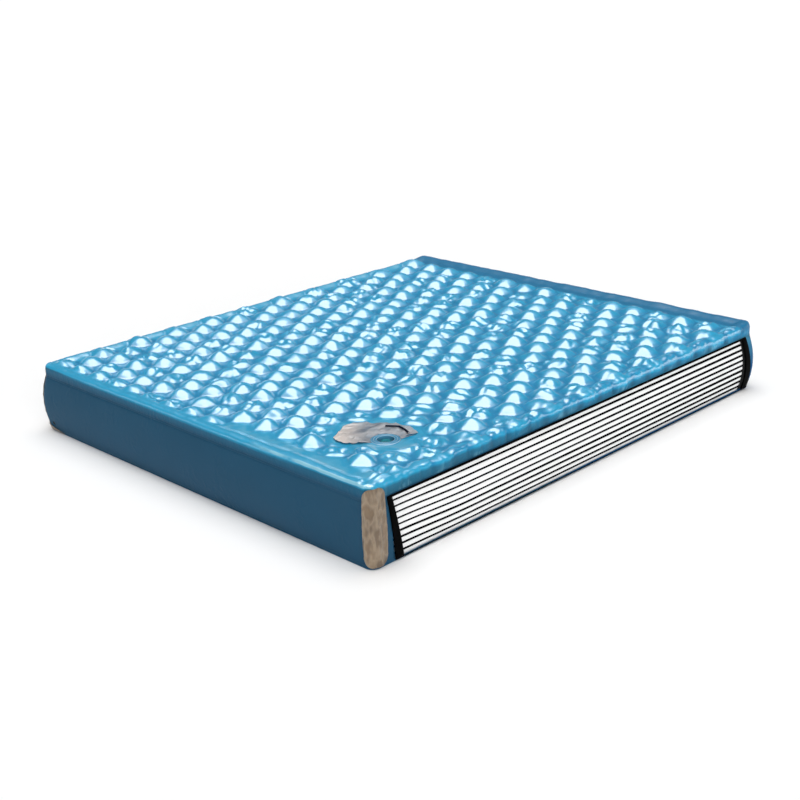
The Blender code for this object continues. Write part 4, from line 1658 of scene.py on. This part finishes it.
@dataclass
class CornerPatch:
    """A crinkled vinyl patch welded over an upright corner of the foot end."""

    outline: Outline
    node: str
    start: float
    end: float
    far: bool = False
    flare_reach: float = 0.0
    flare_height: float = 0.030
    floor_gap: float = 0.006
    top_drop: float = 0.010
    standoff: float = 0.0009
    thickness: float = 0.0012
    rounding: float = 0.030
    columns: int = 44
    rows: int = 110

    def place(self, along: float, stand: float) -> Vector:
        """Point of the corner's outline at a distance along it, from the corner's middle.

        Args:
            along: The distance, below 0 on the foot wall.
            stand: How far the point stands out.

        Returns:
            The point, at level 0.
        """
        radius = self.outline.corner_radius
        arc = radius * math.pi / 2
        reach = radius + stand
        if along < 0:
            return Vector((-reach, -along, 0))
        if along <= arc:
            angle = along / radius
            return Vector((-reach * math.cos(angle), -reach * math.sin(angle), 0))
        return Vector((along - arc, -reach, 0))

    def drawn_in(self, distance: float) -> float:
        """How far a side draws in near a rounded end."""
        into = max(self.rounding - distance, 0) / self.rounding
        return 0.66 * (self.end - self.start) / 2 * (1 - math.sqrt(1 - into * into))

    def flare(self, level: float) -> float:
        """How far the foot of the patch spreads over the wall at a level.

        Args:
            level: The level.

        Returns:
            The reach.
        """
        if self.flare_reach == 0 or level > self.flare_height:
            return 0.0
        share = 1 - (level - self.floor_gap) / (self.flare_height - self.floor_gap)
        return self.flare_reach * share

    def crinkle(self, along: float, level: float) -> float:
        """Stand-off of the crinkled vinyl at a place of the patch.

        Args:
            along: Where the place lies along the patch.
            level: Its level.

        Returns:
            The stand-off.
        """
        spot = Vector((along, level * 0.6, self.start * 9))
        crease = (1 - abs(ripple(spot, 0.022, 8.0))) ** 5
        wave = ripple(spot, 0.05, 3.0)
        return 0.0014 * crease + 0.0008 * wave + 0.0010

    def build(self) -> None:
        bm = bmesh.new()
        bmesh.ops.create_grid(bm, x_segments=self.columns, y_segments=self.rows, size=0.5)
        high = self.outline.panel_top - self.top_drop
        low = self.floor_gap
        core = self.outline.core
        kept = 1.0 if self.far else 1 - self.outline.ease_loss
        sign = 1 if self.far else -1
        for vert in bm.verts:
            across = vert.co.x + 0.5
            up = (1 - math.cos((vert.co.y + 0.5) * math.pi)) / 2
            level = low + (high - low) * up
            upper = self.drawn_in(high - level)
            lower = self.drawn_in(level - low)
            left = self.start + max(upper, 0 if self.flare_reach else lower)
            right = self.end - max(upper, lower)
            left -= self.flare(level)
            along = left + across * (right - left)
            stand = self.outline.skin(level, kept) + self.standoff + self.crinkle(along, level)
            spot = self.place(along, stand)
            vert.co = Vector((spot.x - core.x, -sign * spot.y + sign * core.y, level))
        bm.normal_update()
        if sum(face.normal.x for face in bm.faces) > 0:
            bmesh.ops.reverse_faces(bm, faces=bm.faces)
        name, slot = self.node + "_skin", "corner_vinyl"
        piece = finish_piece(
            name, bm, CORNER_VINYL, Body.BLADDER, [self.node], recalculate=False
        )
        thicken(piece, self.thickness, outward=True)
        area = (self.end - self.start) * (high - low) * 0.97
        area += self.flare_reach * (self.flare_height - self.floor_gap) / 2


@dataclass
class FillValve:
    """The fill valve: its grey sheet, flange, neck, plug and screw cap."""

    outline: Outline
    steps: int = 64
    thread_pitch: float = 0.004
    thread_depth: float = 0.0004

    def turned(
        self,
        name: str,
        profile: list[tuple[float, float]],
        look: Finish,
        body: Body | None,
        slot: str,
        node: str,
        edge: float = 0.0,
    ) -> bpy.types.Object:
        """Turn a closed profile about the valve's axis.

        Args:
            name: The piece's name.
            profile: Radius and height of each corner, heights in the frame.
            look: Its finish.
            body: The body it rides on.
            slot: Not used.
            node: The node it stands for.
            edge: Rounding of its sharp edges, or 0.

        Returns:
            The finished piece.
        """
        bm = self.turned_mesh(profile)
        if edge > 0:
            bm.normal_update()
            sharp = [item for item in bm.edges if item.calc_face_angle(0) > math.radians(50)]
            soften(bm, sharp, edge, clamp_overlap=True)
        return self.finish_turned(name, bm, look, body, node)

    def finish_turned(
        self,
        name: str,
        bm: bmesh.types.BMesh,
        look: Finish,
        body: Body | None,
        node: str,
        sharp: float = 40.0,
    ) -> bpy.types.Object:
        """Move a turned mesh to the valve's axis and finish it.

        Args:
            name: The piece's name.
            bm: The mesh, which is freed.
            look: Its finish.
            body: The body it rides on.
            node: The node it stands for.
            sharp: Edges that turn more than this many degrees stay sharp.

        Returns:
            The finished piece.
        """
        bmesh.ops.translate(bm, verts=bm.verts, vec=(*self.outline.valve.xy, 0))
        return finish_piece(name, bm, look, body, [node], sharp)

    def turned_mesh(self, profile: list[tuple[float, float]]) -> bmesh.types.BMesh:
        """Spin a closed profile about the Z axis.

        Args:
            profile: Radius and height of each corner.

        Returns:
            The closed mesh.
        """
        bm = bmesh.new()
        verts = [bm.verts.new((radius, 0, height)) for radius, height in profile]
        edges = [bm.edges.new((verts[i - 1], verts[i])) for i in range(len(verts))]
        bmesh.ops.spin(
            bm, geom=verts + edges, cent=(0, 0, 0), axis=(0, 0, 1), angle=2 * math.pi,
            steps=self.steps, use_merge=True,
        )
        bmesh.ops.remove_doubles(bm, verts=bm.verts, dist=1e-5)
        spare = [edge for edge in bm.edges if not edge.link_faces]
        bmesh.ops.delete(bm, geom=spare, context="EDGES")
        bmesh.ops.recalc_face_normals(bm, faces=bm.faces)
        return bm

    def flange(self) -> None:
        """The ringed flange with its well, welded into the top."""
        low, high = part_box("valve_flange")
        outer = (high.x - low.x) / 2
        well, wall, foot = 0.028, 0.031, 0.025
        brim, groove = high.z, high.z - 0.0009
        seat = self.outline.valley + self.outline.gap
        profile = [(well, brim - 0.0012), (well + 0.0012, brim)]
        profile += [(0.0335, brim), (0.0345, groove), (0.0365, groove), (0.0375, brim)]
        profile += [(0.0415, brim), (0.0425, groove), (0.0445, groove)]
        profile += [(0.0452, brim - 0.0004), (outer - 0.0012, brim - 0.0012)]
        profile += [(outer, seat + 0.0009), (outer, seat), (wall, seat), (wall, low.z)]
        profile += [(foot, low.z), (foot, low.z + 0.002), (well, low.z + 0.002)]
        self.turned(
            "valve_flange_ring", profile, CLEAR_VINYL, Body.BLADDER, "valve_clear", "valve_flange"
        )

    def diaphragm(self) -> None:
        """The folded teal skin between the well and the neck."""
        low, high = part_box("valve_diaphragm")
        outer, inner = (high.x - low.x) / 2, 0.0121
        skin, welt, count = 0.0011, 0.0012, 14
        under, over = [], []
        for step in range(count + 1):
            share = step / count
            radius = inner + (outer - inner) * share
            height = low.z + (high.z - welt - low.z) * smooth_step(0.08, 0.92, share)
            height += 0.0007 * math.sin(share * math.pi * 5) * math.sin(share * math.pi)
            under.append((radius, height))
            over.append((radius, height + skin))
        name, slot, node = "valve_diaphragm_skin", "diaphragm", "valve_diaphragm"
        piece = self.turned(name, under + over[::-1], TEAL_SKIN, None, slot, node)
        x, y = self.outline.valve.xy
        start, end = (x, y, high.z - welt), (x, y, low.z + welt)
        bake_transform(piece, Body.BLADDER.value, Body.NECK.value, start=start, end=end)

    def neck(self) -> None:
        """The threaded filling neck."""
        low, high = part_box("valve_neck")
        bore, wall, foot, brim = 0.008, 0.0115, 0.016, low.z + 0.0018
        profile = [(bore, low.z), (foot, low.z), (foot, brim), (wall, brim)]
        profile += [(wall, high.z), (bore, high.z)]
        bm = self.turned_mesh(profile)
        start, width, depth = low.z + 0.0130, 0.0015, self.thread_depth
        blank = [(wall - depth, 0, start), (wall - depth, 0, start + width)]
        blank += [(wall + depth, 0, start + width / 2)]
        face = bm.faces.new([bm.verts.new(corner) for corner in blank])
        turns = 2
        steps = self.steps * turns
        bmesh.ops.spin(
            bm, geom=[*face.verts, *face.edges, face], cent=(0, 0, 0), axis=(0, 0, 1),
            dvec=(0, 0, self.thread_pitch * turns / steps), angle=2 * math.pi * turns, steps=steps,
        )
        slot, node = "valve_clear", "valve_neck"
        self.finish_turned("valve_neck_tube", bm, CLEAR_NECK, Body.NECK, node, 35.0)

    def plug(self) -> None:
        """The tapered plug with its two sealing rings, and the cap's seal."""
        low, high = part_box("valve_plug")
        head, shank, step = 0.0112, 0.0077, high.z - 0.0015
        profile = [(0, low.z), (shank - 0.0012, low.z), (shank - 0.0005, low.z + 0.0010)]
        profile += [(shank - 0.0005, low.z + 0.0030), (shank, low.z + 0.0036)]
        profile += [(shank - 0.0005, low.z + 0.0042), (shank - 0.0004, low.z + 0.0062)]
        profile += [(shank, low.z + 0.0068), (shank - 0.0003, low.z + 0.0074), (shank, step)]
        profile += [(head, step), (head, high.z), (0, high.z)]
        self.turned(
            "valve_plug_stopper", profile, CAP_PLASTIC, Body.CARRIER, "valve_cap", "valve_plug"
        )
        low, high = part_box("cap_seal")
        outer, inner = (high.x - low.x) / 2, 0.004
        ring = [(inner, low.z), (outer, low.z), (outer, high.z), (inner, high.z)]
        self.turned(
            "cap_seal_ring", ring, SEAL_RUBBER, Body.CARRIER, "seal", "cap_seal", 0.0003
        )

    def cap(self) -> None:
        """The ribbed screw cap, hollow from below."""
        low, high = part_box("valve_cap")
        outer, hollow = (high.x - low.x) / 2, 0.0121
        roof, dish = high.z - 0.0030, high.z - 0.0005
        profile = [(0, dish), (outer * 0.55, dish), (outer * 0.62, high.z)]
        profile += [(outer - 0.0018, high.z), (outer - 0.0005, high.z - 0.0006)]
        profile += [(outer, high.z - 0.0018), (outer, low.z + 0.0012), (outer - 0.0006, low.z)]
        profile += [(hollow + 0.0006, low.z), (hollow, low.z + 0.0006), (hollow, roof), (0, roof)]
        bm = self.turned_mesh(profile)
        for vert in bm.verts:
            radius = vert.co.xy.length
            upright = low.z + 0.001 < vert.co.z < high.z - 0.001
            if radius > outer - 0.0004 and upright:
                turn = math.atan2(vert.co.y, vert.co.x)
                groove = 0.5 - 0.5 * math.cos(turn * self.steps / 2)
                vert.co.xy *= 1 - 0.0007 * groove / radius
        name, slot, node = "valve_cap_ribbed", "valve_cap", "valve_cap"
        self.finish_turned(name, bm, CAP_PLASTIC, Body.CAP, node, 35.0)

    def sheet(self) -> None:
        """The wrinkled grey sheet that the flange is welded to."""
        low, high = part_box("valve_sheet")
        points = [
            vert.co.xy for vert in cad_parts["valve_sheet"].data.vertices
            if vert.co.z > high.z - 1e-4
        ]
        middle = self.outline.valve.xy
        rings = [point for point in points if (point - middle).length > 0.052]
        ordered = sorted(rings, key=lambda p: math.atan2(p.y - middle.y, p.x - middle.x))
        outline = []
        for point in ordered:
            if not outline or (point - outline[-1]).length > 1e-4:
                outline.append(point)
        bm = bmesh.new()
        bm.faces.new([bm.verts.new((*point, 0)) for point in outline])
        bmesh.ops.subdivide_edges(bm, edges=bm.edges, cuts=7)
        bmesh.ops.triangulate(bm, faces=bm.faces)
        for _ in range(4):
            bmesh.ops.subdivide_edges(
                bm, edges=[e for e in bm.edges if e.calc_length() > 0.006], cuts=1,
                use_grid_fill=True,
            )
        hole = min((point - middle).length for point in points)
        spare = [f for f in bm.faces if (f.calc_center_median().xy - middle).length < hole]
        bmesh.ops.delete(bm, geom=spare, context="FACES")
        push_clear(bm, middle, hole)
        area = sum(face.calc_area() for face in bm.faces)
        for vert in bm.verts:
            away = (vert.co.xy - middle).length
            spot = Vector((vert.co.x * 0.6, vert.co.y, 0))
            crease = (1 - abs(ripple(spot, 0.030, 6.0))) ** 4
            wave = 0.0050 * crease + 0.0050 * (ripple(spot, 0.06, 4.0) + 1) / 2
            vert.co.z = low.z + 0.0006 + wave * smooth_step(0.052, 0.075, away)
        piece = finish_piece(
            "valve_sheet_skin", bm, SHEET_VINYL, Body.BLADDER, ["valve_sheet"]
        )
        thicken(piece, 0.0008, outward=True)
        self.fold()

    def fold(self) -> None:
        """A dark bent strip that stands up from the sheet, its dark colour painted shadow of a crease."""
        route = [(0.072, 0.068), (0.086, 0.049), (0.098, 0.030), (0.091, 0.000), (0.080, -0.029)]
        bm = bmesh.new()
        first = bmesh.ops.create_vert(bm, co=(*route[0], 0))["vert"][0]
        for x, y in route[1:]:
            made = bmesh.ops.extrude_vert_indiv(bm, verts=[first])["verts"]
            first = made[0]
            first.co = Vector((x, y, 0))
        bmesh.ops.subdivide_edges(bm, edges=bm.edges, cuts=3)
        bmesh.ops.translate(bm, verts=bm.verts, vec=self.outline.valve)
        ring = list(bm.edges)
        for step in ((-0.0030, 0.0045), (-0.0020, 0.0003), (-0.0020, -0.0043)):
            made = bmesh.ops.extrude_edge_only(bm, edges=ring)["geom"]
            ring = edges_of(made)
            bmesh.ops.translate(bm, verts=verts_of(made), vec=(step[0], 0, step[1]))
        bmesh.ops.translate(bm, verts=bm.verts, vec=(0, 0, 0.0085))
        piece = finish_piece("sheet_fold_shadow", bm, FOLD_SHADOW, Body.BLADDER, ())
        thicken(piece, 0.0008, outward=True)

    def build(self) -> None:
        """Model every piece of the valve."""
        self.sheet()
        self.flange()
        self.diaphragm()
        self.neck()
        self.plug()
        self.cap()


@dataclass
class Studio:
    """Camera, floor and soft lights."""

    focal_pixels: float = 1294.3
    frame_pixels: float = 800.0
    azimuth: float = -44.380
    elevation: float = 20.189
    roll: float = -2.160
    distance: float = 4.8744
    target: Vector = field(default_factory=lambda: Vector((-0.2163, -0.1896, 0.1359)))
    ring_radius: float = 40.0
    ring_heights: tuple[float, float] = (6.0, 16.0)
    overhead_height: float = 96.0
    overhead: tuple = (("core", 1.24, 54), ("middle", 0.62, 75), ("glow", 0.27, 98))
    fills: tuple = (("front_fill", 14, 14, 2.0, 60), ("top_fill", 0, 90, 0.42, 60))
    sky: float = 0.06

    def camera(self) -> None:
        """Set the camera where the photograph was taken from."""
        data = bpy.data.cameras.new("camera")
        data.sensor_width = 36.0
        data.lens = self.focal_pixels / self.frame_pixels * data.sensor_width
        data.clip_end = 200.0
        camera = add_object("camera", data)
        back = heading(self.azimuth, self.elevation)
        camera.location = self.target + back * self.distance
        look = (-back).to_track_quat("-Z", "Y").to_matrix()
        roll = Matrix.Rotation(math.radians(self.roll), 3, "Z")
        camera.rotation_euler = (look @ roll).to_euler()
        bpy.context.scene.camera = camera

    def floor(self) -> None:
        """Lay the pale floor, which keeps the shadow."""
        bm = bmesh.new()
        bmesh.ops.create_grid(bm, x_segments=1, y_segments=1, size=60.0)
        bmesh.ops.translate(bm, verts=bm.verts, vec=(0, 0, -0.0005))
        self.paper("floor", bm, Base_Color=rgb(253, 253, 253), Roughness=0.9)

    @staticmethod
    def paper(name: str, bm: bmesh.types.BMesh, **sockets: Any) -> bpy.types.Object:
        """Stand a piece of plain paper on the stage.

        Args:
            name: The piece's name.
            bm: Its mesh, which is freed.
            **sockets: Its shader's values.

        Returns:
            The piece.
        """
        surface = Surface(name + "_paper")
        surface.set(Specular_IOR_Level=0.0, **sockets)
        made = add_object(name, to_mesh(name, bm, surface.material))
        return made

    def backdrop(self, low: float, high: float) -> bpy.types.Object:
        """Stand a pale ring far round the floor, which neither lights nor shades.

        Args:
            low: The level that it starts at.
            high: The level that it ends at.

        Returns:
            The ring.
        """
        bm = bmesh.new()
        ring = bmesh.ops.create_circle(bm, segments=64, radius=self.ring_radius)["verts"]
        edges = list({edge for vert in ring for edge in vert.link_edges})
        made = bmesh.ops.extrude_edge_only(bm, edges=edges)["geom"]
        bmesh.ops.translate(bm, verts=verts_of(made), vec=(0, 0, high - low))
        bmesh.ops.translate(bm, verts=bm.verts, vec=(0, 0, low))
        glow = {"Emission_Color": rgb(253, 253, 253), "Emission_Strength": 1.0}
        ring = self.paper("backdrop", bm, Base_Color=BLACK, **glow)
        ring.visible_shadow = False
        ring.visible_diffuse = False
        return ring

    def sun(
        self, name: str, azimuth: float, elevation: float, power: float, size: float
    ) -> bpy.types.Object:
        """Hang one far soft lamp.

        Args:
            name: The lamp's name.
            azimuth: Where it stands, in degrees, measured as the camera's.
            elevation: How high it stands.
            power: The light it sheds.
            size: How wide it looks, in degrees.

        Returns:
            The lamp.
        """
        data = bpy.data.lights.new(name, "SUN")
        data.energy = power
        data.angle = math.radians(size)
        lamp = add_object(name, data)
        back = heading(azimuth, elevation)
        lamp.rotation_euler = back.to_track_quat("Z", "Y").to_euler()
        return lamp

    def lights(self) -> None:
        """Hang a soft-edged overhead light in three rings, two matt fills and a dim sky."""
        for name, power, size in self.overhead:
            self.sun(name, self.azimuth, self.overhead_height, power, size)
        for name, aside, height, power, size in self.fills:
            fill = self.sun(name, self.azimuth + aside, height, power, size)
            fill.visible_glossy = False
        world = bpy.data.worlds.new("studio")
        world.use_nodes = True
        sky = world.node_tree.nodes["Background"]
        sky.inputs["Color"].default_value = (1, 1, 1, 1)
        sky.inputs["Strength"].default_value = self.sky
        bpy.context.scene.world = world
        bpy.context.scene.view_settings.view_transform = "Standard"

    def build(self) -> None:
        """Set up the whole studio."""
        self.camera()
        self.floor()
        lower, upper = self.ring_heights
        self.backdrop(0.0, lower)
        self.backdrop(lower, upper).visible_glossy = False
        self.lights()


def dress_hidden_nodes() -> None:
    """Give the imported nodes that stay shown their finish."""
    for name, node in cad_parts.items():
        if name.startswith("corner_tie"):
            node.data.materials.clear()
            node.data.materials.append(WEBBING.material())


def main() -> None:
    """Build the mattress and its studio."""
    logging.basicConfig(level=logging.INFO, format="%(relativeCreated)d ms %(message)s")
    outline = Outline.from_frame()
    Studio().build()
    TopSkin(outline, BubbleField(outline)).build()
    opening = Opening(outline)
    SideSkin(outline, opening).build()
    BottomSkin(outline).build()
    opening.build()
    FibreStack(outline).build()
    CornerPatch(outline, "corner_patch_near_foot", 0.0, 0.078).build()
    CornerPatch(
        outline, "corner_patch_far_foot", 0.024, 0.112, far=True, flare_reach=0.105
    ).build()
    FillValve(outline).build()
    dress_hidden_nodes()


if __name__ == "__main__":
    main()
